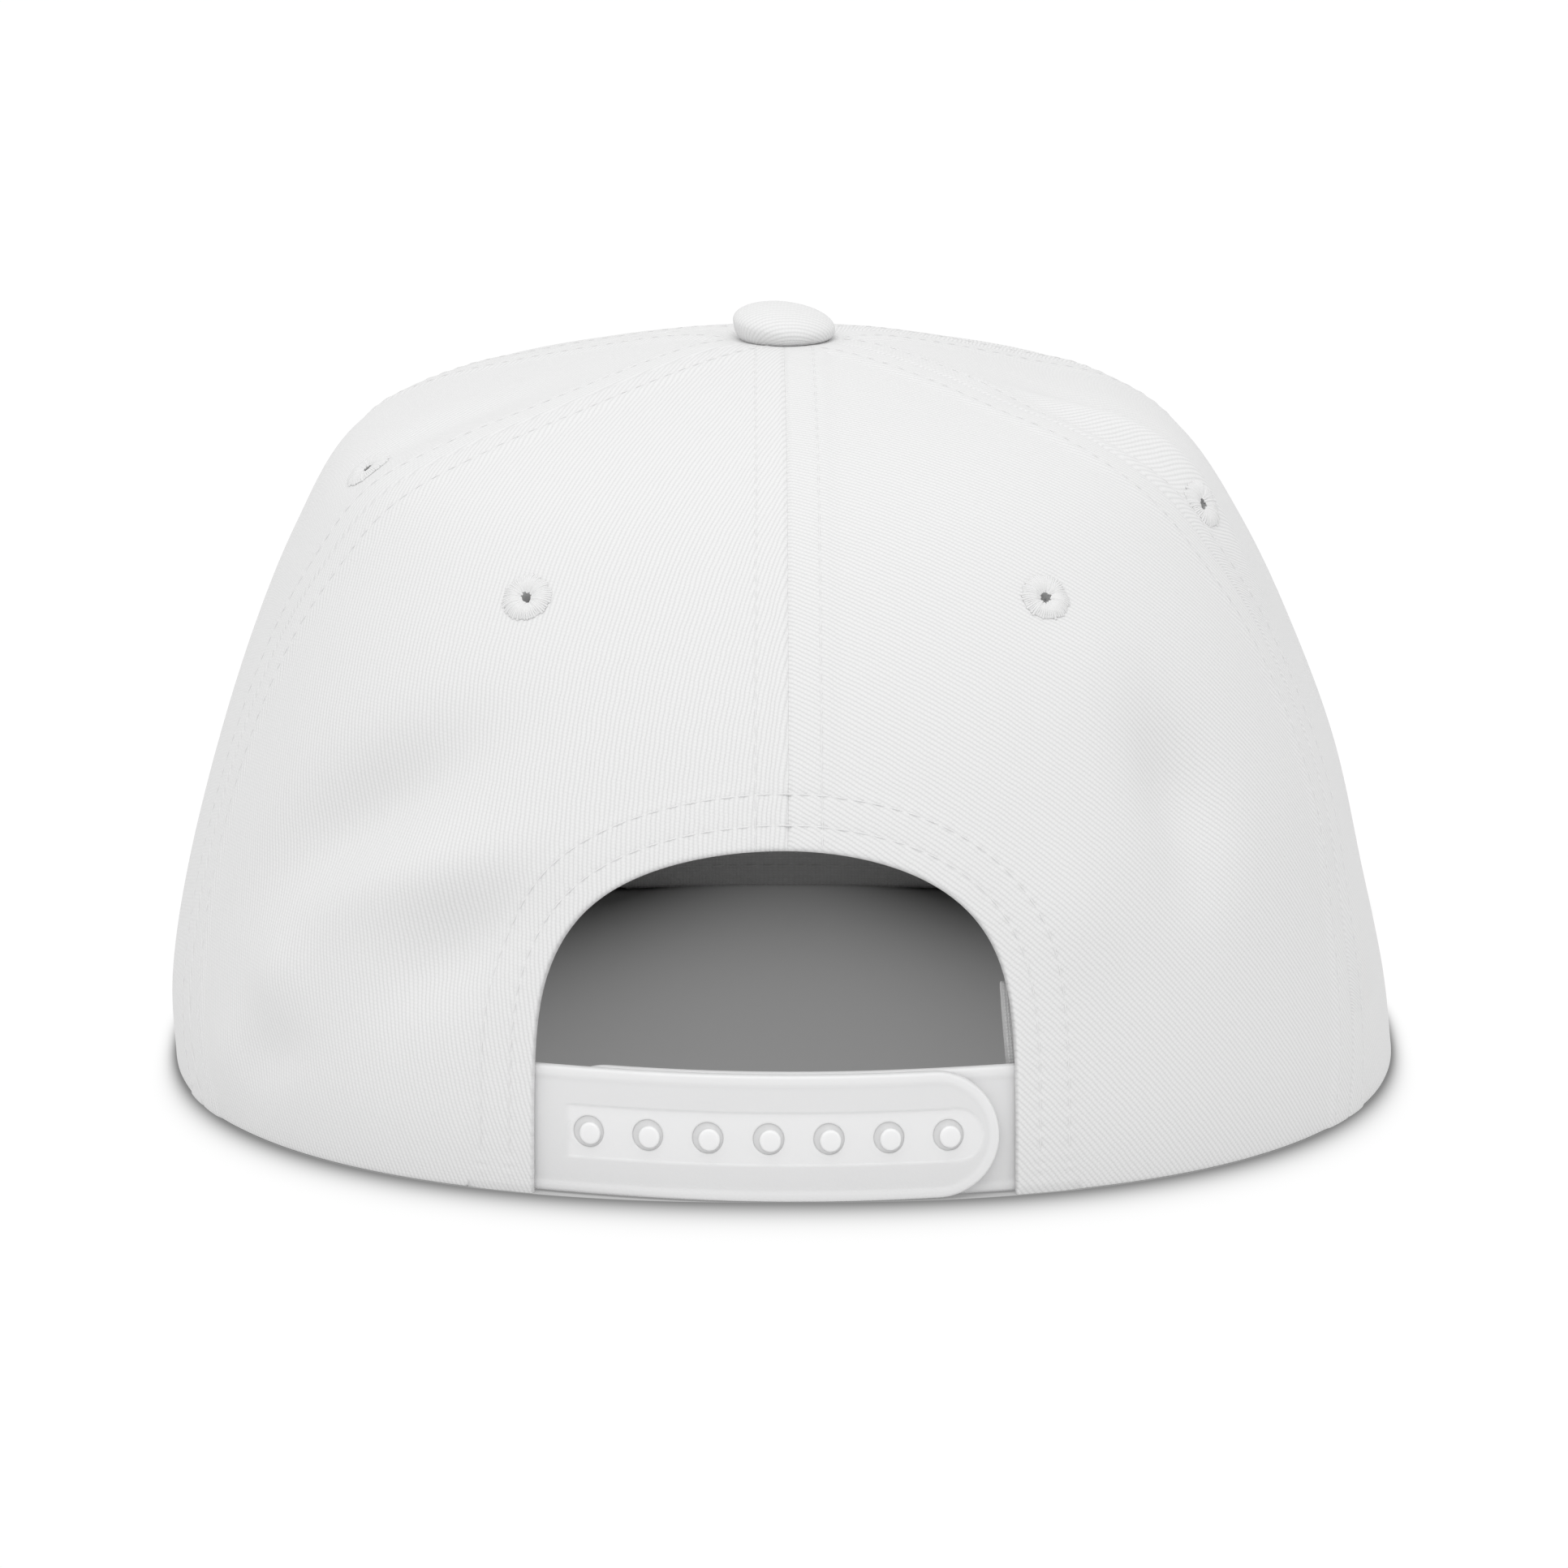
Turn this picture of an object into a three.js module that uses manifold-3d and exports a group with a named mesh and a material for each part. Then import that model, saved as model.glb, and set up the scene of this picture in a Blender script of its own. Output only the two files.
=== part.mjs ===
// A white snapback cap: six stiffened gores, a covered button, a flat peak, a sweatband,
// and two plastic straps that snap together across the arched opening at the back.
// Millimetres, +Z up. The peak points to -Y, the opening faces +Y, the wearer's left is +X.

import * as THREE from "three";
import { mergeVertices } from "three/addons/utils/BufferGeometryUtils.js";
import Module from "manifold-3d";

const wasm = await Module();
wasm.setup();

// Crown
const crownWidth = 173;
const crownLength = 190;
const crownHeight = 101.6;
const crownWall = 1.5;
const crownSquareness = 2.34;
const apexDimple = 0.7;
const apexDimpleRadius = 8;
const seamGap = 0.3;
const goreTip = 0.985;

// Arched opening at the back
const openingLeftReach = 34;
const openingRightReach = 31.5;
const openingHeight = 46;
const archSquareness = 5;

// Peak
const peakLength = 68;
const peakWidth = 175;
const peakThickness = 3.2;
const peakSquareness = 2.5;
const peakFlareLength = 29;
const peakEndBearing = 27;
const rimLiftSpan = 9;

// Sweatband
const bandHeight = 28;
const bandThickness = 1.2;
const bandFloorGap = 0.4;
const bandLean = 0.8;
const bandRightPeek = 0.3;
const bandEaseLength = 12;

// Snap straps
const strapWidth = 16.9;
const strapThickness = 1.2;
const strapFloorGap = 0.1;
const strapTuck = 9;
const strapBulge = 1.4;
const strapTipLength = 8.6;
const strapTipFlat = 0.06;
const snapCount = 7;
const snapPitch = 8.15;
const snapEdgeMargin = 7.5;
const snapTipMargin = 7.1;
const pegTipMargin = 6.6;
const snapHoleRadius = 2.1;
const pegRadius = 1.4;
const pegProud = 0.3;

// Button and its rivet
const buttonRadius = 7.2;
const buttonHeight = 4.8;
const buttonStemRadius = 2.4;
const buttonLipRadius = 5.9;
const buttonWaistHeight = 2;
const rivetHeadRadius = 5;
const rivetHeadThickness = 0.9;

// Eyelets
const eyeletRadius = 3.3;
const eyeletBoreRadius = 0.8;
const eyeletSleeveRadius = 1.6;
const eyeletProud = 0.8;
const eyeletBackRadius = 2.4;
const eyeletBackThickness = 0.5;

// The gap that touching pieces keep
const clearance = 0.3;

// How finely the curved walls are divided
const goreColumns = 10;
const goreRows = 22;
const bandColumns = 48;
const bandRows = 3;
const strapColumns = 28;
const strapRows = 2;
const roundSides = 10;

// The crown's sections from rim to top. Reaches are shares of half the crown's width or
// length, and heights are shares of its height.
const crownSections = [
  { leftReach: 1.0, leftHeight: 0, rightReach: 1.0, rightHeight: 0,
    rearReach: 1.0, rearHeight: 0, frontReach: 1.0, frontHeight: 0 },
  { leftReach: 1.005, leftHeight: 0.11, rightReach: 0.985, rightHeight: 0.11,
    rearReach: 0.985, rearHeight: 0.11, frontReach: 0.985, frontHeight: 0.11 },
  { leftReach: 0.98, leftHeight: 0.25, rightReach: 0.95, rightHeight: 0.25,
    rearReach: 0.95, rearHeight: 0.25, frontReach: 0.955, frontHeight: 0.25 },
  { leftReach: 0.93, leftHeight: 0.42, rightReach: 0.905, rightHeight: 0.42,
    rearReach: 0.895, rearHeight: 0.42, frontReach: 0.915, frontHeight: 0.42 },
  { leftReach: 0.87, leftHeight: 0.58, rightReach: 0.835, rightHeight: 0.58,
    rearReach: 0.815, rearHeight: 0.58, frontReach: 0.865, frontHeight: 0.59 },
  { leftReach: 0.805, leftHeight: 0.715, rightReach: 0.76, rightHeight: 0.715,
    rearReach: 0.715, rearHeight: 0.715, frontReach: 0.8, frontHeight: 0.735 },
  { leftReach: 0.725, leftHeight: 0.835, rightReach: 0.67, rightHeight: 0.833,
    rearReach: 0.6, rearHeight: 0.825, frontReach: 0.72, frontHeight: 0.842 },
  { leftReach: 0.605, leftHeight: 0.892, rightReach: 0.56, rightHeight: 0.896,
    rearReach: 0.47, rearHeight: 0.9, frontReach: 0.61, frontHeight: 0.898 },
  { leftReach: 0.465, leftHeight: 0.928, rightReach: 0.425, rightHeight: 0.929,
    rearReach: 0.34, rearHeight: 0.945, frontReach: 0.47, frontHeight: 0.932 },
  { leftReach: 0.315, leftHeight: 0.961, rightReach: 0.29, rightHeight: 0.962,
    rearReach: 0.215, rearHeight: 0.975, frontReach: 0.315, frontHeight: 0.962 },
  { leftReach: 0.155, leftHeight: 0.99, rightReach: 0.145, rightHeight: 0.99,
    rearReach: 0.105, rearHeight: 0.993, frontReach: 0.155, frontHeight: 0.988 },
  { leftReach: 0, leftHeight: 1, rightReach: 0, rightHeight: 1,
    rearReach: 0, rearHeight: 1, frontReach: 0, frontHeight: 1 },
];

// Bearings of the side gores' seams, in degrees round from the side, at equal steps from
// rim to top.
const seamBearings = [
  { rearLeft: 23, rearRight: 27.5, front: 25 },
  { rearLeft: 19.5, rearRight: 24, front: 24 },
  { rearLeft: 17, rearRight: 20.5, front: 23 },
  { rearLeft: 17, rearRight: 18.5, front: 22 },
  { rearLeft: 20, rearRight: 20, front: 22 },
  { rearLeft: 26.5, rearRight: 25, front: 23 },
  { rearLeft: 34.5, rearRight: 30, front: 24 },
  { rearLeft: 41, rearRight: 33, front: 25 },
  { rearLeft: 46, rearRight: 35, front: 26 },
  { rearLeft: 49, rearRight: 37, front: 27 },
  { rearLeft: 50, rearRight: 38, front: 27 },
];

// Dents and ridges pressed into the crown. Bearing runs in degrees from the wearer's left
// (0) over the rear (90) to the right (180), and up is the share of the way from rim to
// top. Long, short and swell (outward, or inward when negative) are shares of the crown's
// height, and tilt is the long axis's slope in degrees.
const dents = [
  { bearing: 46, up: 0.295, long: 0.185, short: 0.065, tilt: 36, swell: -0.02 },
  { bearing: 57, up: 0.26, long: 0.15, short: 0.05, tilt: 21, swell: 0.011 },
  { bearing: 61, up: 0.215, long: 0.11, short: 0.055, tilt: 42, swell: -0.013 },
  { bearing: 38, up: 0.168, long: 0.06, short: 0.05, tilt: 20, swell: 0.008 },
  { bearing: 39, up: 0.1, long: 0.07, short: 0.04, tilt: 20, swell: -0.007 },
  { bearing: 30, up: 0.08, long: 0.06, short: 0.05, tilt: 60, swell: 0.006 },
  { bearing: 130.5, up: 0.335, long: 0.085, short: 0.06, tilt: 100, swell: -0.017 },
  { bearing: 129, up: 0.285, long: 0.07, short: 0.06, tilt: 90, swell: -0.006 },
  { bearing: 116, up: 0.236, long: 0.09, short: 0.07, tilt: 90, swell: 0.006 },
  { bearing: 125, up: 0.42, long: 0.09, short: 0.07, tilt: 90, swell: 0.005 },
  { bearing: 165, up: 0.64, long: 0.16, short: 0.05, tilt: 90, swell: -0.015 },
  { bearing: 18, up: 0.66, long: 0.16, short: 0.05, tilt: 90, swell: -0.008 },
];

// Where each gore's eyelet sits, as bearing and share of the way up.
const eyeletPlaces = [
  { name: "back_left_eyelet", gore: "back_left_panel", bearing: 62.7, up: 0.476 },
  { name: "back_right_eyelet", gore: "back_right_panel", bearing: 120, up: 0.474 },
  { name: "side_left_eyelet", gore: "side_left_panel", bearing: 18, up: 0.565 },
  { name: "side_right_eyelet", gore: "side_right_panel", bearing: 164, up: 0.517 },
  { name: "front_left_eyelet", gore: "front_left_panel", bearing: -60, up: 0.5 },
  { name: "front_right_eyelet", gore: "front_right_panel", bearing: -120, up: 0.5 },
];

const cloth = { color: 0xeeeeec, roughness: 0.92, metalness: 0 };
const thread = { color: 0xf2f2f0, roughness: 0.8, metalness: 0 };
const plastic = { color: 0xe2e3e3, roughness: 0.35, metalness: 0 };

const radians = THREE.MathUtils.degToRad;
const mix = THREE.MathUtils.lerp;

// Reads a table of equally spaced rows at a share of its length, on a smooth curve.
function readTable(rows, share) {
  const last = rows.length - 1;
  const place = THREE.MathUtils.clamp(share, 0, 1) * last;
  const i = Math.min(Math.floor(place), last - 1);
  const t = place - i;
  const value = {};
  for (const name of Object.keys(rows[0])) {
    const b = rows[i][name];
    const c = rows[i + 1][name];
    const a = i > 0 ? rows[i - 1][name] : 2 * b - c;
    const d = i < last - 1 ? rows[i + 2][name] : 2 * c - b;
    const curve = (2 * a - 5 * b + 4 * c - d) * t + (c - a);
    value[name] = b + 0.5 * t * (curve + (3 * b - 3 * c + d - a) * t * t);
  }
  return value;
}

function roundedPower(value, squareness) {
  return Math.sign(value) * Math.abs(value) ** (2 / squareness);
}

// A point of the crown's smooth outer face, before its dents.
function smoothCrown(bearing, up) {
  const row = readTable(crownSections, up);
  const cos = Math.cos(radians(bearing));
  const sin = Math.sin(radians(bearing));
  const sideReach = cos >= 0 ? row.leftReach : row.rightReach;
  const sideHeight = cos >= 0 ? row.leftHeight : row.rightHeight;
  const endReach = sin >= 0 ? row.rearReach : row.frontReach;
  const endHeight = sin >= 0 ? row.rearHeight : row.frontHeight;
  const x = sideReach * crownWidth / 2 * roundedPower(cos, crownSquareness);
  const y = endReach * crownLength / 2 * roundedPower(sin, crownSquareness);
  const dimple = apexDimple * Math.exp(-(x * x + y * y) / apexDimpleRadius ** 2);
  const z = crownHeight * (sideHeight * cos * cos + endHeight * sin * sin) - dimple;
  return new THREE.Vector3(x, y, z);
}

// The level, rising and outward directions of a face at a bearing and share of the way up.
function facing(face, bearing, up) {
  const rise = 0.01;
  const turn = 0.5;
  const level = face(bearing + turn, up).sub(face(bearing - turn, up)).normalize();
  const rising = face(bearing, up + rise).sub(face(bearing, Math.max(up - rise, 0))).normalize();
  const outward = new THREE.Vector3().crossVectors(level, rising).normalize();
  return { level, rising, outward };
}

// Each dent with its centre, axes and sizes on the smooth crown.
const placedDents = dents.map((dent) => {
  const { level, rising, outward } = facing(smoothCrown, dent.bearing, dent.up);
  const longAxis = level.multiplyScalar(Math.cos(radians(dent.tilt)));
  longAxis.addScaledVector(rising, Math.sin(radians(dent.tilt)));
  return {
    centre: smoothCrown(dent.bearing, dent.up),
    outward,
    longAxis,
    shortAxis: new THREE.Vector3().crossVectors(outward, longAxis).normalize(),
    long: dent.long * crownHeight,
    short: dent.short * crownHeight,
    swell: dent.swell * crownHeight,
  };
});

// A point of the crown's outer face with its dents pressed in.
function crownFace(bearing, up) {
  const point = smoothCrown(bearing, up);
  const moved = point.clone();
  for (const dent of placedDents) {
    const away = point.clone().sub(dent.centre);
    const along = away.dot(dent.longAxis) / dent.long;
    const aside = away.dot(dent.shortAxis) / dent.short;
    const deep = away.dot(dent.outward) / dent.long;
    const strength = Math.exp(-along * along - aside * aside - deep * deep);
    moved.addScaledVector(dent.outward, dent.swell * strength);
  }
  return moved;
}

// A point at a depth under a face. At an edge that stays level it moves in level.
function under(face, bearing, up, depth, level = false) {
  const { outward } = facing(face, bearing, up);
  if (level) {
    outward.setZ(0).normalize();
  }
  return face(bearing, up).addScaledVector(outward, -depth);
}

// The share of the way up at which the crown reaches a height.
function upAtHeight(bearing, height) {
  let low = 0;
  let high = 1;
  for (let halving = 0; halving < 30; halving += 1) {
    const middle = (low + high) / 2;
    if (smoothCrown(bearing, middle).z < height) {
      low = middle;
    } else {
      high = middle;
    }
  }
  return low;
}

// The rear bearing at which the rim is a reach to the left, or to the right if negative.
function bearingAtReach(reach) {
  const share = Math.min(Math.abs(reach) / (crownWidth / 2), 1);
  const bearing = THREE.MathUtils.radToDeg(Math.acos(share ** (crownSquareness / 2)));
  return reach >= 0 ? bearing : 180 - bearing;
}

// How far the rim is lifted at a bearing, where it crosses onto the peak.
function rimLift(bearing) {
  const front = THREE.MathUtils.radToDeg(Math.asin(-Math.sin(radians(bearing))));
  const onPeak = peakThickness + clearance;
  return onPeak * THREE.MathUtils.smoothstep(front, peakEndBearing - rimLiftSpan, peakEndBearing);
}

// A closed wall between an outer and an inner face, each a function of a share across and
// a share up, where across and up turn right-handed about the outward direction.
function wallBetween(outer, inner, columns, rows) {
  const positions = [];
  for (const face of [outer, inner]) {
    for (let j = 0; j <= rows; j += 1) {
      for (let i = 0; i <= columns; i += 1) {
        positions.push(...face(i / columns, j / rows).toArray());
      }
    }
  }
  const index = [];
  const quad = (a, b, c, d) => index.push(a, b, c, a, c, d);
  const out = (i, j) => j * (columns + 1) + i;
  const back = (i, j) => out(i, j) + (columns + 1) * (rows + 1);
  for (let i = 0; i < columns; i += 1) {
    for (let j = 0; j < rows; j += 1) {
      quad(out(i, j), out(i + 1, j), out(i + 1, j + 1), out(i, j + 1));
      quad(back(i, j), back(i, j + 1), back(i + 1, j + 1), back(i + 1, j));
    }
    quad(out(i, 0), back(i, 0), back(i + 1, 0), out(i + 1, 0));
    quad(out(i, rows), out(i + 1, rows), back(i + 1, rows), back(i, rows));
  }
  for (let j = 0; j < rows; j += 1) {
    quad(out(0, j), out(0, j + 1), back(0, j + 1), back(0, j));
    quad(out(columns, j), back(columns, j), back(columns, j + 1), out(columns, j + 1));
  }
  const geometry = new THREE.BufferGeometry();
  geometry.setAttribute("position", new THREE.Float32BufferAttribute(positions, 3));
  geometry.setIndex(index);
  return geometry;
}

// Turns a closed geometry into a solid that can be cut and joined.
function toSolid(geometry) {
  const bare = geometry.clone();
  bare.deleteAttribute("normal");
  bare.deleteAttribute("uv");
  const merged = mergeVertices(bare);
  const mesh = new wasm.Mesh({
    numProp: 3,
    vertProperties: new Float32Array(merged.attributes.position.array),
    triVerts: new Uint32Array(merged.index.array),
  });
  return new wasm.Manifold(mesh);
}

function toGeometry(solid) {
  const mesh = solid.getMesh();
  const geometry = new THREE.BufferGeometry();
  geometry.setAttribute("position", new THREE.BufferAttribute(mesh.vertProperties, 3));
  geometry.setIndex(new THREE.BufferAttribute(mesh.triVerts, 1));
  geometry.computeVertexNormals();
  return geometry;
}

// Names a geometry or solid and gives it its finish.
function piece(name, shape, finish) {
  const geometry = shape instanceof THREE.BufferGeometry ? shape : toGeometry(shape);
  const mesh = new THREE.Mesh(geometry, new THREE.MeshStandardMaterial(finish));
  mesh.name = name;
  return mesh;
}

// Moves a geometry made round the Y axis so that it points outward from a point.
function standOn(geometry, point, outward) {
  const yAxis = new THREE.Vector3(0, 1, 0);
  geometry.applyQuaternion(new THREE.Quaternion().setFromUnitVectors(yAxis, outward));
  geometry.translate(point.x, point.y, point.z);
  return geometry;
}

// A rod from a depth below a point to a height above it.
function rod(point, outward, radius, below, above) {
  const geometry = new THREE.CylinderGeometry(radius, radius, below + above, roundSides);
  geometry.translate(0, (above - below) / 2, 0);
  return standOn(geometry, point, outward);
}

// The seams between gores, as bearings at a share of the way up.
const seams = {
  rear: () => 90,
  rearLeft: (up) => readTable(seamBearings, up).rearLeft,
  frontLeft: (up) => -readTable(seamBearings, up).front,
  front: () => -90,
  frontRight: (up) => readTable(seamBearings, up).front - 180,
  rearRight: (up) => 180 - readTable(seamBearings, up).rearRight,
};

const gores = {
  front_left_panel: { from: seams.front, to: seams.frontLeft },
  side_left_panel: { from: seams.frontLeft, to: seams.rearLeft },
  back_left_panel: { from: seams.rearLeft, to: seams.rear },
  back_right_panel: { from: seams.rear, to: seams.rearRight },
  side_right_panel: { from: seams.rearRight, to: (up) => seams.frontRight(up) + 360 },
  front_right_panel: { from: seams.frontRight, to: seams.front },
};

// The turn, in degrees, that keeps half of the seam gap free beside a seam.
function seamInset(bearing, up, side) {
  const turn = 0.05 * side;
  const moved = smoothCrown(bearing, up).distanceTo(smoothCrown(bearing + turn, up));
  return seamGap / 2 * turn / moved;
}

// The arch cut out of the two back gores, straight below and round above.
function openingCutter() {
  const steps = 12;
  const outline = [new THREE.Vector2(openingRightReach, -openingHeight)];
  for (let i = -steps; i <= steps; i += 1) {
    const angle = (i / steps) * Math.PI / 2;
    const reach = i < 0 ? openingRightReach : openingLeftReach;
    const height = openingHeight * roundedPower(Math.cos(angle), archSquareness);
    outline.push(new THREE.Vector2(-reach * Math.sin(angle), height));
  }
  outline.push(new THREE.Vector2(-openingLeftReach, -openingHeight));
  const shape = new THREE.Shape(outline);
  const geometry = new THREE.ExtrudeGeometry(shape, { depth: crownLength, bevelEnabled: false });
  return geometry.rotateX(Math.PI / 2).rotateZ(Math.PI);
}

// One gore: a wall between two seams from the rim to the button, cut for the button's
// stem, its eyelet and, at the back, the opening.
function gorePanel(name, gore) {
  const wallPoint = (across, share, depth) => {
    const rimBearing = mix(gore.from(0), gore.to(0), across);
    const up = mix(upAtHeight(rimBearing, rimLift(rimBearing)), goreTip, share);
    const from = gore.from(up) + seamInset(gore.from(up), up, 1);
    const to = gore.to(up) + seamInset(gore.to(up), up, -1);
    return under(crownFace, mix(from, to, across), up, depth, share === 0);
  };
  const outer = (across, share) => wallPoint(across, share, 0);
  const inner = (across, share) => wallPoint(across, share, crownWall);
  const apex = smoothCrown(0, 1);
  const upward = new THREE.Vector3(0, 0, 1);
  const stemHole = rod(apex, upward, buttonStemRadius + clearance, 4 * crownWall, crownWall);
  let solid = toSolid(wallBetween(outer, inner, goreColumns, goreRows));
  solid = solid.subtract(toSolid(stemHole));
  for (const place of eyeletPlaces.filter((place) => place.gore === name)) {
    const { outward } = facing(crownFace, place.bearing, place.up);
    const centre = crownFace(place.bearing, place.up);
    const radius = eyeletSleeveRadius + clearance;
    solid = solid.subtract(toSolid(rod(centre, outward, radius, 3 * crownWall, crownWall)));
  }
  if (name.startsWith("back")) {
    solid = solid.subtract(toSolid(openingCutter()));
  }
  return piece(name, solid, cloth);
}

// Bends a small geometry made round the Y axis so that it follows the crown at a place.
function wrapOnCrown(geometry, place) {
  const { bearing, up } = place;
  const centre = crownFace(bearing, up);
  const turn = 1;
  const rise = 0.01;
  const turnLength = centre.distanceTo(crownFace(bearing + turn, up));
  const riseLength = centre.distanceTo(crownFace(bearing, up + rise));
  const position = geometry.attributes.position;
  for (let i = 0; i < position.count; i += 1) {
    const turned = bearing + position.getX(i) * turn / turnLength;
    const risen = up - position.getZ(i) * rise / riseLength;
    position.setXYZ(i, ...under(crownFace, turned, risen, -position.getY(i)).toArray());
  }
  return geometry;
}

// An eyelet: a ring on the face, a sleeve through the gore and a ring behind it.
function eyelet(place) {
  const back = -crownWall - clearance;
  const profile = [
    [eyeletBoreRadius, back - eyeletBackThickness],
    [eyeletBackRadius, back - eyeletBackThickness],
    [eyeletBackRadius, back],
    [eyeletSleeveRadius, back],
    [eyeletSleeveRadius, clearance],
    [eyeletRadius, clearance],
    [eyeletRadius, mix(clearance, eyeletProud, 0.5)],
    [mix(eyeletBoreRadius, eyeletRadius, 0.6), eyeletProud],
    [eyeletBoreRadius, mix(clearance, eyeletProud, 0.8)],
    [eyeletBoreRadius, back - eyeletBackThickness],
  ];
  const points = profile.map(([radius, height]) => new THREE.Vector2(radius, height));
  const geometry = new THREE.LatheGeometry(points, roundSides);
  return piece(place.name, wrapOnCrown(geometry, place), thread);
}

// The covered button, its stem through the crown and its rivet head inside.
function topButton() {
  const seat = smoothCrown(0, 1).z;
  const inside = seat - crownWall - clearance;
  const base = seat + clearance;
  const waist = base + buttonWaistHeight;
  const profile = [
    [0, inside - rivetHeadThickness],
    [rivetHeadRadius, inside - rivetHeadThickness],
    [rivetHeadRadius, inside],
    [buttonStemRadius, inside],
    [buttonStemRadius, base],
    [buttonLipRadius, base],
  ];
  const domeSteps = 7;
  for (let i = 0; i <= domeSteps; i += 1) {
    const angle = (i / domeSteps) * Math.PI / 2;
    const height = waist + (base + buttonHeight - waist) * Math.sin(angle);
    profile.push([i === domeSteps ? 0 : buttonRadius * Math.cos(angle), height]);
  }
  const points = profile.map(([radius, height]) => new THREE.Vector2(radius, height));
  const geometry = new THREE.LatheGeometry(points, 2 * roundSides);
  return piece("top_button", geometry.rotateX(Math.PI / 2), cloth);
}

// The flat peak. Its inner edge follows the crown's inner face, its sides flare and its
// front is a rounded square. It lies flat, and the front of the rim sits on it.
function peak() {
  const steps = 24;
  const outline = [];
  for (let i = 0; i <= steps; i += 1) {
    const bearing = mix(-180 + peakEndBearing, -peakEndBearing, i / steps);
    const point = under(smoothCrown, bearing, 0, crownWall, true);
    outline.push(new THREE.Vector2(point.x, point.y));
  }
  const end = smoothCrown(-peakEndBearing, 0);
  const widest = end.y - peakFlareLength;
  const front = -crownLength / 2 - peakLength;
  const rightSide = [];
  for (let i = 0; i < steps / 4; i += 1) {
    const back = 1 - i / (steps / 4);
    rightSide.push([mix(peakWidth / 2, end.x, back * back), mix(widest, end.y, back)]);
  }
  for (let i = 0; i <= steps / 2; i += 1) {
    const angle = (i / steps) * Math.PI;
    const x = peakWidth / 2 * roundedPower(Math.cos(angle), peakSquareness);
    const y = mix(widest, front, roundedPower(Math.sin(angle), peakSquareness));
    rightSide.push([i === steps / 2 ? 0 : x, y]);
  }
  outline.push(...rightSide.map(([x, y]) => new THREE.Vector2(x, y)));
  const leftSide = rightSide.slice(0, -1).reverse();
  outline.push(...leftSide.map(([x, y]) => new THREE.Vector2(-x, y)));
  const shape = new THREE.Shape(outline);
  const thick = { depth: peakThickness, bevelEnabled: false };
  return piece("peak", new THREE.ExtrudeGeometry(shape, thick), cloth);
}

// The sweatband: a band inside the rim, from one side of the opening round the front to
// the other. It leans in towards its top, and stands in near its ends to clear the straps.
function sweatband() {
  const start = bearingAtReach(bandRightPeek - openingRightReach) - 360;
  const end = bearingAtReach(openingLeftReach);
  const bandPoint = (across, share, depth) => {
    const bearing = mix(start, end, across);
    const rim = smoothCrown(bearing, 0);
    const opening = rim.x > 0 ? openingLeftReach : openingRightReach;
    const past = Math.abs(rim.x) - opening - strapTuck - clearance;
    const nearStrap = rim.y > 0 ? 1 - THREE.MathUtils.smoothstep(past, 0, bandEaseLength) : 0;
    const room = nearStrap * (strapThickness + clearance);
    const up = upAtHeight(bearing, bandFloorGap + share * bandHeight);
    const deep = crownWall + clearance + room + share * bandLean + depth;
    return under(crownFace, bearing, up, deep, share === 0);
  };
  const outer = (across, share) => bandPoint(across, share, 0);
  const inner = (across, share) => bandPoint(across, share, bandThickness);
  return piece("sweatband", wallBetween(outer, inner, bandColumns, bandRows), cloth);
}

// How deep the outer face of the strap with holes lies under the crown's face. It leaves
// its tuck at the left, bulges out between, and ends over the other strap at the right.
function strapDepth(reach) {
  const span = openingLeftReach + openingRightReach;
  const share = THREE.MathUtils.clamp((openingLeftReach - reach) / span, 0, 1);
  const layer = strapThickness + clearance;
  const bulge = strapBulge * (1 - Math.cos(2 * Math.PI * share)) / 2;
  return crownWall + clearance - layer * share - bulge;
}

// A point at a depth inside the crown's rear face, at a reach and height, and the level
// direction out of it. The straps lean as the crown does.
function strapPoint(reach, height, depth) {
  const bearing = bearingAtReach(reach);
  const up = upAtHeight(bearing, height);
  const outward = facing(smoothCrown, bearing, up).outward.setZ(0).normalize();
  return { point: under(smoothCrown, bearing, up, depth, true), outward };
}

// A strap between its rounded tip and its root, a layer under the face of the strap with
// holes. Its columns crowd together at the tip.
function strap(tip, root, layer) {
  const place = (across, share, thickness) => {
    const along = 1 - Math.cos(across * Math.PI / 2);
    const reach = mix(tip, root, along);
    const fromTip = THREE.MathUtils.clamp(Math.abs(reach - tip) / strapTipLength, 0, 1);
    const rounding = mix(strapTipFlat, 1, Math.sqrt(1 - (1 - fromTip) ** 2));
    const halfWidth = strapWidth / 2 * rounding;
    const height = strapFloorGap + strapWidth / 2 + halfWidth * mix(-1, 1, share);
    return strapPoint(reach, height, strapDepth(reach) + layer + thickness).point;
  };
  const leftward = root > tip;
  const columnAt = (across) => (leftward ? 1 - across : across);
  const outer = (across, share) => place(columnAt(across), share, 0);
  const inner = (across, share) => place(columnAt(across), share, strapThickness);
  return toSolid(wallBetween(outer, inner, strapColumns, strapRows));
}

// The places of the holes and pegs along the straps.
function snapReaches() {
  const first = openingLeftReach - snapEdgeMargin;
  return Array.from({ length: snapCount }, (_, i) => first - i * snapPitch);
}

// The strap with holes, from the wearer's left, which lies outside the other.
function snapStrap() {
  const tip = snapReaches().at(-1) - snapTipMargin;
  let solid = strap(tip, openingLeftReach + strapTuck, 0);
  for (const reach of snapReaches()) {
    const height = strapFloorGap + strapWidth / 2;
    const { point, outward } = strapPoint(reach, height, strapDepth(reach));
    const hole = rod(point, outward, snapHoleRadius, 2 * strapThickness, strapThickness);
    solid = solid.subtract(toSolid(hole));
  }
  return piece("snap_strap", solid, plastic);
}

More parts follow.
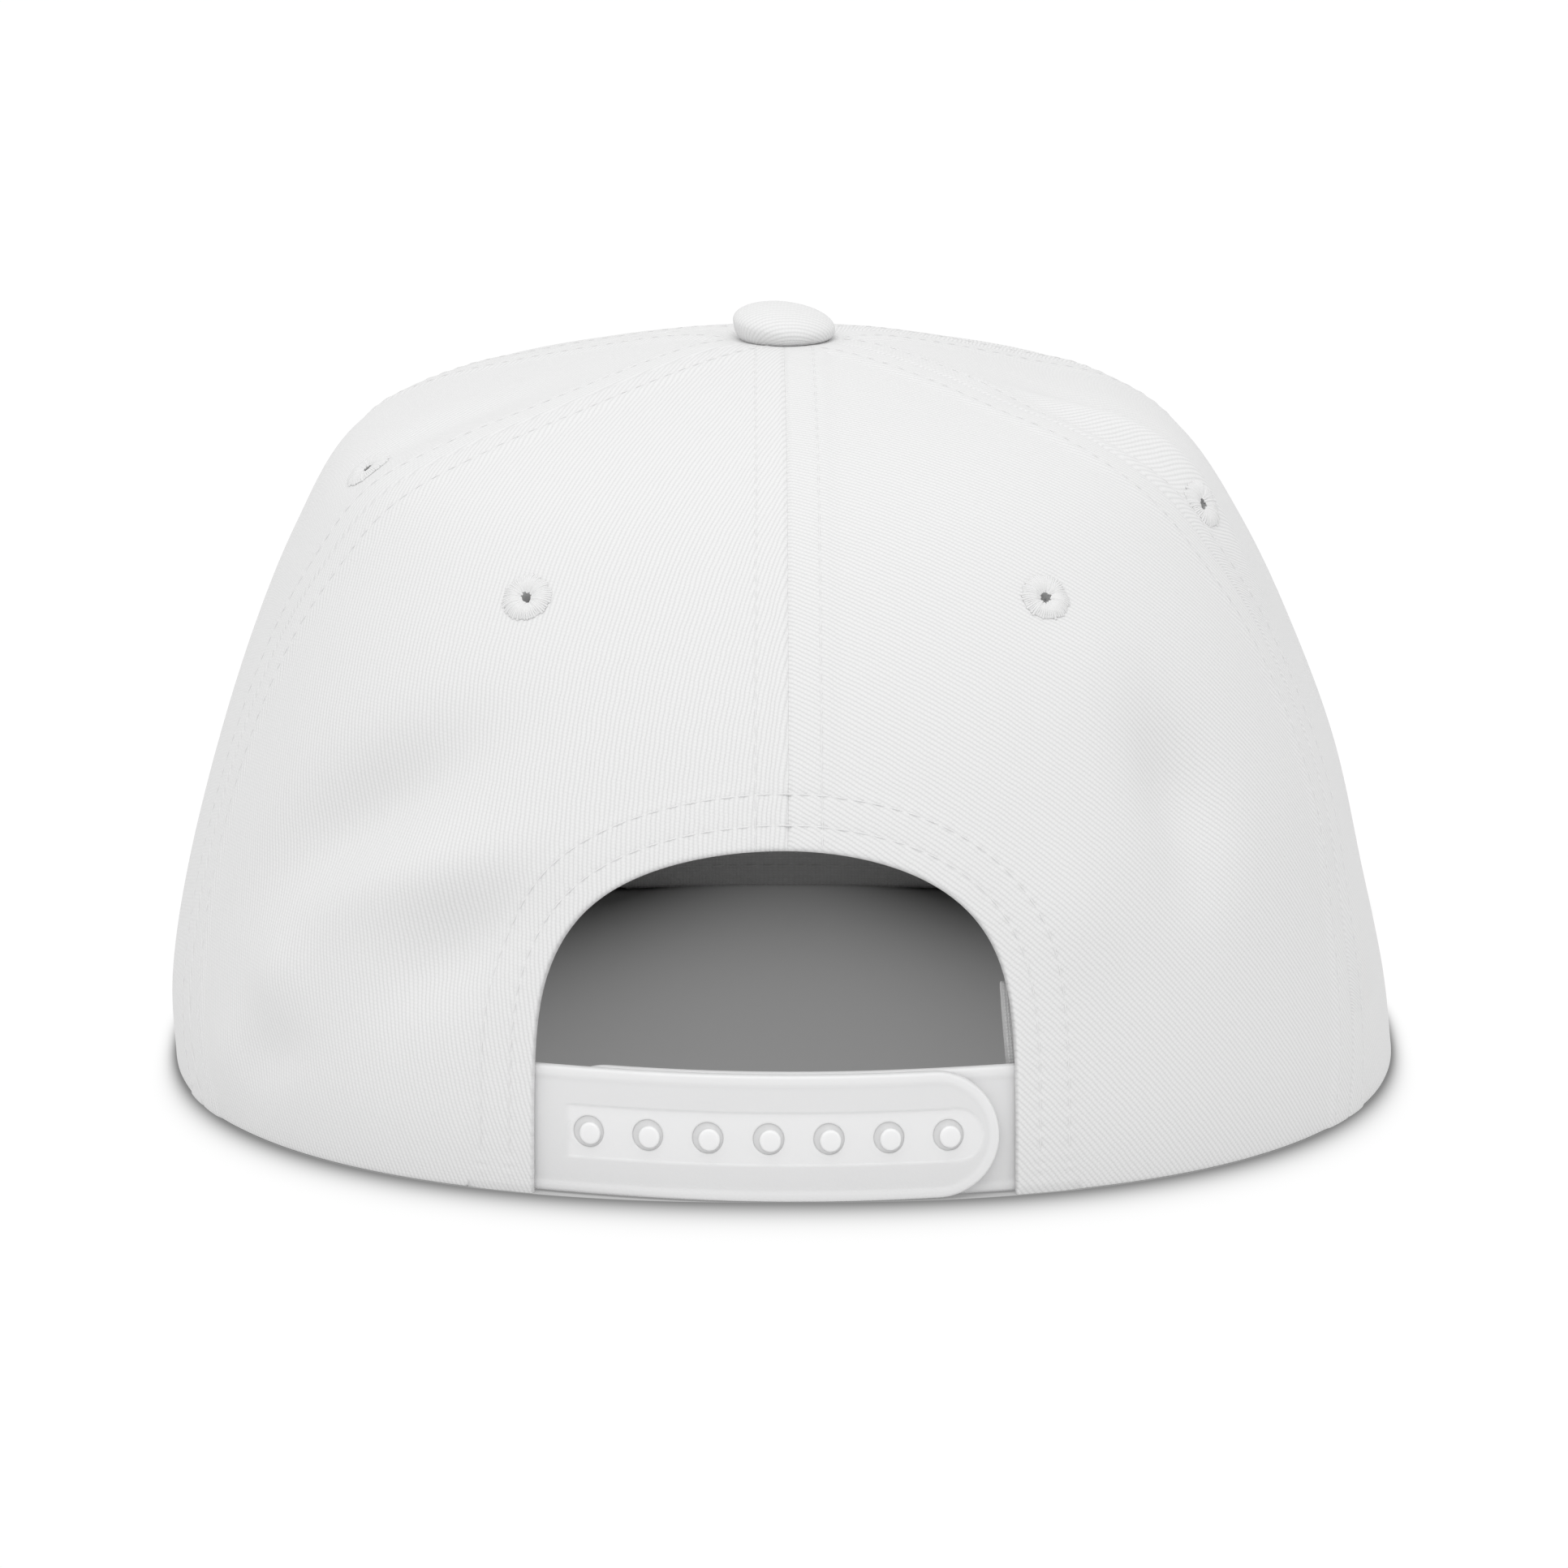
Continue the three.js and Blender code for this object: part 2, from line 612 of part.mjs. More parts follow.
// The strap with pegs, from the wearer's right, whose pegs stand in the holes.
function pegStrap() {
  const layer = strapThickness + clearance;
  const tip = snapReaches()[0] + pegTipMargin;
  let solid = strap(tip, -openingRightReach - strapTuck, layer);
  for (const reach of snapReaches()) {
    const height = strapFloorGap + strapWidth / 2;
    const { point, outward } = strapPoint(reach, height, strapDepth(reach) + layer);
    const peg = rod(point, outward, pegRadius, strapThickness / 2, layer + pegProud);
    solid = solid.add(toSolid(peg));
  }
  return piece("peg_strap", solid, plastic);
}

const cap = new THREE.Group();
for (const [name, gore] of Object.entries(gores)) {
  cap.add(gorePanel(name, gore));
}
for (const place of eyeletPlaces) {
  cap.add(eyelet(place));
}
cap.add(topButton());
cap.add(peak());
cap.add(sweatband());
cap.add(snapStrap());
cap.add(pegStrap());

// The origin is the middle of the cap's footprint on the surface that it rests on.
const box = new THREE.Box3().setFromObject(cap);
const middle = box.getCenter(new THREE.Vector3());
cap.position.set(-middle.x, -middle.y, -box.min.z);

export default cap;
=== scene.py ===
# A white snapback cap that rests on its rim, seen from behind and a little above.
# Everything is in metres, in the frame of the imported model.

import math

import bpy
import numpy as np
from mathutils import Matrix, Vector


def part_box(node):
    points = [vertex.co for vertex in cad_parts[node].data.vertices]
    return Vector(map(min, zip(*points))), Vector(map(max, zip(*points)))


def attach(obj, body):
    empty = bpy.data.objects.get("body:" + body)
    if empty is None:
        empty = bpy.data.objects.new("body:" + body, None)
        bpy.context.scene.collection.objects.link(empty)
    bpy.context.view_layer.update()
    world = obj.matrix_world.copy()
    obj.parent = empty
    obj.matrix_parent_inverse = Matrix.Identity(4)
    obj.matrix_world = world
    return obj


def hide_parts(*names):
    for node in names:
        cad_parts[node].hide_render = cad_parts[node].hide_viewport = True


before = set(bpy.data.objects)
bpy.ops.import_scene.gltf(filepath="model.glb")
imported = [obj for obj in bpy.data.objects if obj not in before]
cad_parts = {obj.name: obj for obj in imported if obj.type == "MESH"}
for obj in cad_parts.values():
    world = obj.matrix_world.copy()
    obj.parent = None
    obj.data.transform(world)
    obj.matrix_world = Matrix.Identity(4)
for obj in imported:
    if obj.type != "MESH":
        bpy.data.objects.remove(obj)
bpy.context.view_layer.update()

mm = 0.001

# Camera. It stands straight behind the cap, a little above the floor, far off on a long
# lens, and looks at a point on the middle line of the crown.
button_low, button_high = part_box("top_button")
crown_centre = np.array([0, (button_low.y + button_high.y) / 2, 0])
camera_distance = 1500 * mm
camera_elevation = math.radians(12.5)
camera_aim_height = 36.5 * mm
camera_lens = 242
camera_film_width = 36
camera_nearest = 100 * mm
camera_farthest = 10000 * mm

camera_data = bpy.data.cameras.new("camera")
camera_data.lens = camera_lens
camera_data.sensor_width = camera_film_width
camera_data.clip_start = camera_nearest
camera_data.clip_end = camera_farthest
camera = bpy.data.objects.new("camera", camera_data)
bpy.context.scene.collection.objects.link(camera)
bpy.context.scene.camera = camera
camera_aim = Vector((0, crown_centre[1], camera_aim_height))
camera_back = Vector((0, math.cos(camera_elevation), math.sin(camera_elevation)))
camera.location = camera_aim + camera_back * camera_distance
camera.rotation_mode = "QUATERNION"
camera.rotation_quaternion = (-camera_back).to_track_quat("-Z", "Y")


# Gores. The crown is six gores of stiffened cotton twill, joined by seams whose allowances
# lie flat underneath as low welts. The two back gores are cut out for the arched opening,
# whose edge is turned under and stitched down twice.
crown_width = 173 * mm
crown_length = 190 * mm
crown_height = 101.6 * mm
crown_wall = 1.5 * mm
crown_squareness = 2.34
apex_dimple = 1.3 * mm
apex_dimple_radius = 8.5 * mm
gore_tip = 0.985
dent_strength = 1.45
seam_gap = 0.01 * mm
peak_end_bearing = 27
rim_lift_span = 9
rim_gap_on_peak = 0.3 * mm
rim_lift_on_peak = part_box("peak")[1].z + rim_gap_on_peak
rim_level_height = 3 * mm
opening_left_reach = 34 * mm
opening_right_reach = 31.5 * mm
opening_height = 46 * mm
arch_squareness = 5
hem_width = 9 * mm
hem_stitch_lines = (3.0 * mm, 6.9 * mm)
seam_stitch_low = 4.7 * mm
seam_stitch_high = 4.0 * mm
seam_welt_height = 0.32 * mm
seam_welt_slope = (5 * mm, 7 * mm)
hem_welt_height = 0.14 * mm
hem_welt_slope = (6.9 * mm, 8.4 * mm)
stitch_channel_depth = 0.05 * mm
stitch_channel_width = 0.5 * mm
seam_groove_depth = 0.3 * mm
seam_groove_width = 0.3 * mm
seam_groove_end_ups = (0.9, 0.95)
rear_seam_drift = 0.22
rear_seam_straight_up = 0.6
fold_radius = 0.5 * mm
fold_depth = 0.35 * mm
sharp_edge_angle = math.radians(60)
stitch_pitch = 2.5 * mm
row_step = 1.1 * mm
column_step = 1.3 * mm
lattice_rows = 141
lattice_columns = 61
bend_smoothing_rows = 41
bend_limits = (0.5, 30)
seam_columns_width_share = 0.4
seam_columns = np.array(
    (0, 0.15, 0.4, 0.8, 1.3, 2, 2.8, 3.4, 3.8, 4.2, 4.6, 5.0, 5.5, 6.2, 7, 8)) * mm
rim_rows = np.array((0, 0.15, 0.4, 0.8, 1.4, 2.2)) * mm
hem_rows = np.array((8.4, 7.9, 7.5, 7.2, 6.9, 6.6, 6.2, 5.5, 4.6, 3.9, 3.4, 3.0, 2.6, 2.1,
                     1.5, 1.0, 0.6, 0.3, 0.1, 0)) * mm
eyelet_hole_radius = 1.9 * mm

# Sections from rim to top. Columns: left reach and height, right reach and height, rear
# reach and height, front reach and height, as shares of the crown's sizes.
crown_sections = np.array([
    (1.0, 0, 1.0, 0, 1.0, 0, 1.0, 0),
    (1.005, 0.11, 0.985, 0.11, 0.985, 0.11, 0.985, 0.11),
    (0.98, 0.25, 0.95, 0.25, 0.95, 0.25, 0.955, 0.25),
    (0.93, 0.42, 0.905, 0.42, 0.895, 0.42, 0.915, 0.42),
    (0.87, 0.58, 0.835, 0.58, 0.815, 0.58, 0.865, 0.59),
    (0.805, 0.715, 0.76, 0.715, 0.715, 0.715, 0.8, 0.735),
    (0.725, 0.835, 0.67, 0.833, 0.6, 0.825, 0.72, 0.842),
    (0.605, 0.892, 0.56, 0.896, 0.47, 0.9, 0.61, 0.898),
    (0.465, 0.928, 0.425, 0.929, 0.34, 0.945, 0.47, 0.932),
    (0.315, 0.961, 0.29, 0.962, 0.215, 0.975, 0.315, 0.962),
    (0.155, 0.99, 0.145, 0.99, 0.105, 0.993, 0.155, 0.988),
    (0, 1, 0, 1, 0, 1, 0, 1),
])

# Bearings of the side gores' seams in degrees round from the side, at equal steps from
# rim to top. Columns: rear left, rear right, front.
seam_bearings = np.array([
    (23, 27.5, 25),
    (19.5, 24, 24),
    (17, 20.5, 23),
    (17, 18.5, 22),
    (20, 20, 22),
    (26.5, 25, 23),
    (34.5, 30, 24),
    (41, 33, 25),
    (46, 35, 26),
    (49, 37, 27),
    (50, 38, 27),
])

# Dents and ridges. Columns: bearing, share of the way up, long and short half widths,
# slope of the long side in degrees, and swell, with lengths as shares of the height.
dents = (
    (46, 0.295, 0.19, 0.07, 36, -0.027),
    (57, 0.26, 0.15, 0.05, 21, 0.011),
    (61, 0.215, 0.115, 0.06, 42, -0.018),
    (38, 0.168, 0.06, 0.05, 20, 0.008),
    (39, 0.1, 0.07, 0.04, 20, -0.007),
    (30, 0.08, 0.06, 0.05, 60, 0.006),
    (133, 0.31, 0.1, 0.075, 100, -0.023),
    (131, 0.25, 0.07, 0.06, 90, -0.006),
    (116, 0.236, 0.09, 0.07, 90, 0.006),
    (125, 0.42, 0.09, 0.07, 90, 0.005),
    (159, 0.61, 0.15, 0.035, 102, -0.013),
    (167, 0.6, 0.15, 0.035, 97, 0.009),
    (176, 0.65, 0.15, 0.05, 97, -0.008),
    (18, 0.66, 0.16, 0.05, 90, -0.008),
)


def read_table(rows, share):
    """Reads equally spaced rows at shares of the table's length, on a smooth curve."""
    last = len(rows) - 1
    place = np.clip(share, 0, 1) * last
    i = np.minimum(place.astype(int), last - 1)
    t = (place - i)[..., None]
    b = rows[i]
    c = rows[i + 1]
    a = np.where(i[..., None] > 0, rows[np.maximum(i - 1, 0)], 2 * b - c)
    d = np.where(i[..., None] < last - 1, rows[np.minimum(i + 2, last)], 2 * c - b)
    curve = (2 * a - 5 * b + 4 * c - d) * t + (c - a)
    return b + 0.5 * t * (curve + (3 * b - 3 * c + d - a) * t * t)


def rounded_power(value, squareness):
    return np.sign(value) * np.abs(value) ** (2 / squareness)


def unit(vectors):
    return vectors / np.linalg.norm(vectors, axis=-1, keepdims=True)


def smoothstep(value, low, high):
    t = np.clip((value - low) / (high - low), 0, 1)
    return t * t * (3 - 2 * t)


def smooth_crown(bearing, up):
    """The crown's outer face before its dents, measured from the middle of the rim.
    Bearings run in degrees from the wearer's left over the rear to the right."""
    bearing, up = np.broadcast_arrays(bearing, up)
    row = read_table(crown_sections, up)
    cos = np.cos(np.radians(bearing))
    sin = np.sin(np.radians(bearing))
    side = np.where((cos >= 0)[..., None], row[..., 0:2], row[..., 2:4])
    end = np.where((sin >= 0)[..., None], row[..., 4:6], row[..., 6:8])
    x = side[..., 0] * crown_width / 2 * rounded_power(cos, crown_squareness)
    y = end[..., 0] * crown_length / 2 * rounded_power(sin, crown_squareness)
    dimple = apex_dimple * np.exp(-(x * x + y * y) / apex_dimple_radius ** 2)
    z = crown_height * (side[..., 1] * cos * cos + end[..., 1] * sin * sin) - dimple
    return np.stack([x, y, z], axis=-1)


def facing(face, bearing, up):
    """The level, rising and outward directions of a face."""
    turn = 0.5
    rise = 0.01
    level = unit(face(bearing + turn, up) - face(bearing - turn, up))
    above = face(bearing, np.minimum(up + rise, 1))
    rising = unit(above - face(bearing, np.maximum(up - rise, 0)))
    return level, rising, unit(np.cross(level, rising))


placed_dents = []
for bearing, up, long, short, tilt, swell in dents:
    level, rising, outward = facing(smooth_crown, np.array(float(bearing)), np.array(up))
    long_axis = level * math.cos(math.radians(tilt)) + rising * math.sin(math.radians(tilt))
    short_axis = unit(np.cross(outward, long_axis))
    centre = smooth_crown(np.array(float(bearing)), np.array(up))
    sizes = np.array((long, short, swell * dent_strength)) * crown_height
    placed_dents.append((centre, outward, long_axis, short_axis, *sizes))


def crown_face(bearing, up):
    """The crown's outer face with its dents pressed in."""
    points = smooth_crown(bearing, up)
    moved = points.copy()
    for centre, outward, long_axis, short_axis, long, short, swell in placed_dents:
        away = points - centre
        along = away @ long_axis / long
        aside = away @ short_axis / short
        deep = away @ outward / long
        strength = np.exp(-along * along - aside * aside - deep * deep)
        moved += swell * strength[..., None] * outward
    return moved


def up_at_height(bearing, height):
    """The share of the way up at which the crown reaches a height."""
    bearing, height = np.broadcast_arrays(bearing, height)
    low = np.zeros(bearing.shape)
    high = np.ones(bearing.shape)
    halvings = 26
    for halving in range(halvings):
        middle = (low + high) / 2
        below = smooth_crown(bearing, middle)[..., 2] < height
        low = np.where(below, middle, low)
        high = np.where(below, high, middle)
    return low


def rim_lift(bearing):
    """How far the rim is lifted where it crosses onto the peak."""
    front = np.degrees(np.arcsin(-np.sin(np.radians(bearing))))
    low = peak_end_bearing - rim_lift_span
    return rim_lift_on_peak * smoothstep(front, low, peak_end_bearing)


def grid_faces(rows, columns):
    """Faces between points that are listed row by row."""
    return [[j * columns + i, j * columns + i + 1,
             (j + 1) * columns + i + 1, (j + 1) * columns + i]
            for j in range(rows - 1) for i in range(columns - 1)]


class Gore:
    """One gore between two seams, with its lengths measured on a lattice."""

    def __init__(self, start, end):
        self.start = start
        self.end = end
        self.ups = np.linspace(0, gore_tip, lattice_rows)
        self.shares = np.linspace(0, 1, lattice_columns)
        first = start(self.ups)[:, None]
        bearing = first + (end(self.ups)[:, None] - first) * self.shares
        points = smooth_crown(bearing, self.ups[:, None])
        steps = np.linalg.norm(np.diff(points, axis=1), axis=-1)
        row = np.concatenate([np.zeros((len(steps), 1)), np.cumsum(steps, axis=1)], axis=1)
        first_lean = self.lean(points[:, 0], points[:, 1])
        last_lean = self.lean(points[:, -1], points[:, -2])
        self.from_start = row * first_lean
        self.from_end = (row[:, -1:] - row) * last_lean
        self.measure_cloth(points, bearing, row)

    def lean(self, seam, beside):
        """The sine of the angle between a seam and the rows that meet it."""
        along = unit(np.gradient(seam, axis=0))
        return np.linalg.norm(np.cross(along, unit(beside - seam)), axis=-1)[:, None]

    def measure_cloth(self, points, bearing, row):
        """Lays the gore flat, as it was cut: across from its middle line, and up."""
        middle = len(self.shares) // 2
        climb = np.linalg.norm(np.diff(points[:, middle], axis=0), axis=-1)
        rise = np.concatenate([[0], np.cumsum(climb)])
        across = row - row[:, middle:middle + 1]
        span = np.linalg.norm(points[:, middle + 1] - points[:, middle - 1], axis=-1)
        span = span / (bearing[:, middle + 1] - bearing[:, middle - 1])
        narrowing = -np.gradient(np.log(span), rise)
        window = np.hanning(bend_smoothing_rows)
        padded = np.pad(narrowing, bend_smoothing_rows // 2, mode="edge")
        bend = np.convolve(padded, window / window.sum(), "valid")
        bend = np.clip(bend, *bend_limits)[:, None]
        self.flat_across = np.sin(bend * across) / bend
        self.flat_up = rise[:, None] + (1 - np.cos(bend * across)) / bend

    def share(self, bearing, up):
        first = self.start(up)
        return (bearing - first) / (self.end(up) - first)

    def look_up(self, lattice, share, up):
        """Reads a lattice of lengths between its rows and columns."""
        j = np.clip(up / gore_tip, 0, 1) * (len(self.ups) - 1)
        i = np.clip(share, 0, 1) * (len(self.shares) - 1)
        j0 = np.minimum(j.astype(int), len(self.ups) - 2)
        i0 = np.minimum(i.astype(int), len(self.shares) - 2)
        s = i - i0
        t = j - j0
        low = lattice[j0, i0] * (1 - s) + lattice[j0, i0 + 1] * s
        high = lattice[j0 + 1, i0] * (1 - s) + lattice[j0 + 1, i0 + 1] * s
        return low * (1 - t) + high * t

    def share_beside(self, distance, up, lattice):
        """The share across at a distance from one seam, for each up."""
        found = []
        for d, u in zip(distance, up):
            row = self.look_up(lattice, self.shares, np.full(len(self.shares), u))
            if lattice is self.from_end:
                found.append(np.interp(d, row[::-1], self.shares[::-1]))
            else:
                found.append(np.interp(d, row, self.shares))
        return np.array(found)

    def grid(self):
        """The gore's flat faces, with fine columns beside the seams and fine rows at the
        rim. A place is a bearing, a share of the way up, a distance from the opening's
        edge and a length along that edge."""
        widest = (self.from_start[0, -1] + self.from_end[0, 0]) / 2
        middle_columns = round((widest - 2 * seam_columns[-1]) / column_step)
        climb = np.linalg.norm(np.diff(smooth_crown(self.start(self.ups), self.ups), axis=0),
                               axis=-1).sum()
        rows = round(climb / row_step)
        rises = np.concatenate([rim_rows, np.linspace(rim_rows[-1], climb, rows)[1:]]) / climb
        places = []
        for rise in rises:
            up = np.array([rise * gore_tip])
            width = self.look_up(self.from_start, np.ones(1), up)[0]
            scale = min(1, seam_columns_width_share * width / seam_columns[-1])
            up = np.repeat(up, len(seam_columns))
            low = self.share_beside(seam_columns * scale, up, self.from_start)
            high = self.share_beside(seam_columns * scale, up, self.from_end)
            middle = np.linspace(low[-1], high[-1], middle_columns + 1)[1:-1]
            across = np.concatenate([low, middle, high[::-1]])
            rim_bearing = self.start(np.zeros(1)) * (1 - across) + self.end(np.zeros(1)) * across
            if rise == 0:
                lifted = up_at_height(rim_bearing, rim_lift(rim_bearing))
            ups = lifted + (gore_tip - lifted) * rise
            bearing = self.start(ups) + (self.end(ups) - self.start(ups)) * across
            past_hem = np.full(len(ups), hem_width)
            places.append(np.stack([bearing, ups, past_hem, 0 * ups], axis=-1))
        return np.concatenate(places), grid_faces(len(rises), len(across))


def rear_seam(up):
    """The rear seam runs a little to the wearer's right below the top."""
    drift = rear_seam_drift * (1 - smoothstep(up, rear_seam_straight_up, 1))
    return 90 + drift * np.ones(np.shape(up))


def front_seam(up):
    return np.full(np.shape(up), -90.0)


def side_seam(side, way, column):
    """A seam that runs down beside a side's bearing, by a column of its table."""
    return lambda up: side + way * read_table(seam_bearings, up)[..., column]


rear_left_seam = side_seam(0, 1, 0)
rear_right_seam = side_seam(180, -1, 1)
front_left_seam = side_seam(0, -1, 2)
front_right_seam = side_seam(180, 1, 2)
gores = {
    "front_left_panel": Gore(front_seam, front_left_seam),
    "side_left_panel": Gore(front_left_seam, rear_left_seam),
    "back_left_panel": Gore(rear_left_seam, rear_seam),
    "back_right_panel": Gore(rear_seam, rear_right_seam),
    "side_right_panel": Gore(rear_right_seam, front_right_seam),
    "front_right_panel": Gore(front_right_seam, lambda up: front_seam(up) + 360),
}

# How far the back gores' cloth is turned off the grain of the others, in degrees.
grain_turns = {"back_left_panel": -22, "back_right_panel": 12}

# Where each gore's eyelet sits. Columns: bearing and share of the way up.
eyelet_places = {
    "back_left": (62.7, 0.476),
    "back_right": (120, 0.474),
    "side_left": (18, 0.565),
    "side_right": (164, 0.517),
    "front_left": (-60, 0.5),
    "front_right": (240, 0.5),
}


def arch(turn, distance):
    """The reach and height of a point at a distance outside the opening's edge. Turns run
    from the right foot (-90) over the top to the left foot (90)."""
    least_cos = 1e-9
    foot_turn = 89.999
    reach = np.where(turn < 0, opening_right_reach, opening_left_reach)
    sin = np.sin(np.radians(turn))
    cos = np.maximum(np.cos(np.radians(turn)), least_cos)
    power = 2 / arch_squareness
    along = unit(np.stack([reach * cos, -opening_height * power * cos ** (power - 1) * sin], -1))
    x = reach * sin - along[..., 1] * distance
    z = opening_height * cos ** power + along[..., 0] * distance
    return x, np.where(np.abs(turn) > foot_turn, 0, z)


def rear_place(x, z):
    """The bearing and share of the way up of the point of the rear at a reach and height."""
    up = z / crown_height
    passes = 6
    for pass_number in range(passes):
        row = read_table(crown_sections, up)
        side = np.where(x >= 0, row[..., 0], row[..., 2]) * crown_width / 2
        share = np.clip(np.abs(x) / side, 0, 1) ** (crown_squareness / 2)
        bearing = np.degrees(np.arccos(share))
        bearing = np.where(x >= 0, bearing, 180 - bearing)
        up = up_at_height(bearing, z)
    return bearing, up


arch_points = 1441
arch_turns = np.linspace(90, -90, arch_points)
hem_x, hem_z = arch(arch_turns, hem_width)
hem_angles = np.arctan2(hem_z, hem_x)
edge_x, edge_z = arch(arch_turns, hem_stitch_lines[1])
arch_runs = np.concatenate([[0], np.cumsum(np.hypot(np.diff(edge_x), np.diff(edge_z)))])


def cut(places, faces, keep):
    """Cuts faces along the line where keep is zero and drops where it is negative. Returns
    the places, the faces and the places that lie on the line."""
    kept = keep(places) > 0
    crossed = {}
    for face in faces:
        for a, b in zip(face, face[1:] + face[:1]):
            if kept[a] != kept[b]:
                crossed[(a, b) if kept[a] else (b, a)] = 0
    low = places[[a for a, b in crossed]]
    high = places[[b for a, b in crossed]]
    halvings = 20
    for halving in range(halvings):
        middle = (low + high) / 2
        inside = (keep(middle) > 0)[:, None]
        low = np.where(inside, middle, low)
        high = np.where(inside, high, middle)
    for n, edge in enumerate(crossed):
        crossed[edge] = len(places) + n
    cut_faces = []
    for face in faces:
        corners = []
        for a, b in zip(face, face[1:] + face[:1]):
            if kept[a]:
                corners.append(a)
                if not kept[b]:
                    corners.append(crossed[a, b])
            elif kept[b]:
                corners.append(crossed[b, a])
        if len(corners) > 2:
            cut_faces.append(corners)
    return np.concatenate([places, low]), cut_faces, list(crossed.values())


def border(places, faces, chain, rings, closed):
    """Adds rings of places to a chain of them, place for place, and the faces between."""
    last = list(chain)
    count = len(last)
    for ring in rings:
        new = list(range(len(places), len(places) + count))
        places = np.concatenate([places, ring])
        for i in range(count if closed else count - 1):
            k = (i + 1) % count
            faces.append([last[i], new[i], new[k], last[k]])
        last = new
    return places, faces


def cut_opening(places, faces):
    """Cuts a back gore at the inner line of its hem, and adds the hem down to the edge."""
    def outside_hem(places):
        x, y, z = smooth_crown(places[:, 0], places[:, 1]).T
        line = np.interp(np.arctan2(z, x), hem_angles, np.hypot(hem_x, hem_z))
        return np.where(y > 0, np.hypot(x, z) - line, 1)

    places, faces, chain = cut(places, faces, outside_hem)
    x, y, z = smooth_crown(places[chain, 0], places[chain, 1]).T
    angles = np.arctan2(np.maximum(z, 0), x)
    order = np.argsort(angles)
    chain = [chain[i] for i in order]
    turns = np.interp(angles[order], hem_angles, arch_turns)
    runs = np.interp(-turns, -arch_turns, arch_runs)
    places[chain, 3] = runs
    rings = []
    for distance in hem_rows:
        bearing, up = rear_place(*arch(turns, distance))
        rings.append(np.stack([bearing, up, np.full(len(up), distance), runs], axis=-1))
    return border(places, faces, chain, rings, False)


def seam_stitch_distance(up):
    return seam_stitch_low + (seam_stitch_high - seam_stitch_low) * up


def fold(distance):
    """How deep a turned edge lies under the face at a distance from the edge."""
    near = 1 - np.clip(distance / fold_radius, 0, 1)
    return fold_depth * (1 - np.sqrt(1 - near * near))


def sewn_relief(seam, hem, seam_stitch, up):
    """How far the cloth stands out of the crown's face over its seams and its hem."""
    welt = seam_welt_height * (1 - smoothstep(seam, *seam_welt_slope))
    hem_welt = hem_welt_height * (1 - smoothstep(hem, *hem_welt_slope))
    groove_depth = seam_groove_depth * (1 - smoothstep(up, *seam_groove_end_ups))
    relief = np.maximum(welt, hem_welt)
    relief = relief - groove_depth * np.exp(-(seam / seam_groove_width) ** 2)
    for distance in (seam_stitch, hem - hem_stitch_lines[0], hem - hem_stitch_lines[1]):
        channel = np.exp(-(distance / stitch_channel_width) ** 2)
        relief = relief - stitch_channel_depth * channel
    return relief


def new_piece(name, points, faces, material, edges=(), values=None):
    """A mesh of points measured from the middle of the crown's rim. Values are a vector
    for each point, under the name that a material reads."""
    mesh = bpy.data.meshes.new(name)
    mesh.from_pydata((np.asarray(points) + crown_centre).tolist(), list(edges), faces)
    for value_name, vectors in (values or {}).items():
        attribute = mesh.attributes.new(value_name, "FLOAT_VECTOR", "POINT")
        attribute.data.foreach_set("vector", np.asarray(vectors, np.float32).ravel())
    if material is not None:
        mesh.materials.append(material)
    mesh.shade_smooth()
    if faces:
        mesh.set_sharp_from_angle(angle=sharp_edge_angle)
    piece = bpy.data.objects.new(name, mesh)
    bpy.context.scene.collection.objects.link(piece)
    return piece


def flat_vectors(x, y):
    """Vectors that lie flat, from their first two numbers."""
    x, y = np.broadcast_arrays(x, y)
    return np.stack([x, y, np.zeros(x.shape)], axis=-1)


def wall(name, faces, outer, inner, material, values):
    """Closes a wall between the outer and inner points of the same faces."""
    used = np.unique([corner for face in faces for corner in face])
    number = {old: new for new, old in enumerate(used)}
    faces = [[number[corner] for corner in face] for face in faces]
    sides = set()
    for face in faces:
        for a, b in zip(face, face[1:] + face[:1]):
            if (b, a) in sides:
                sides.remove((b, a))
            else:
                sides.add((a, b))
    count = len(used)
    backs = [[corner + count for corner in reversed(face)] for face in faces]
    edges = [[a, a + count, b + count, b] for a, b in sorted(sides)]
    points = np.concatenate([outer[used], inner[used]])
    values = {key: np.tile(vectors[used], (2, 1)) for key, vectors in values.items()}
    return new_piece(name, points, faces + backs + edges, material, values=values)


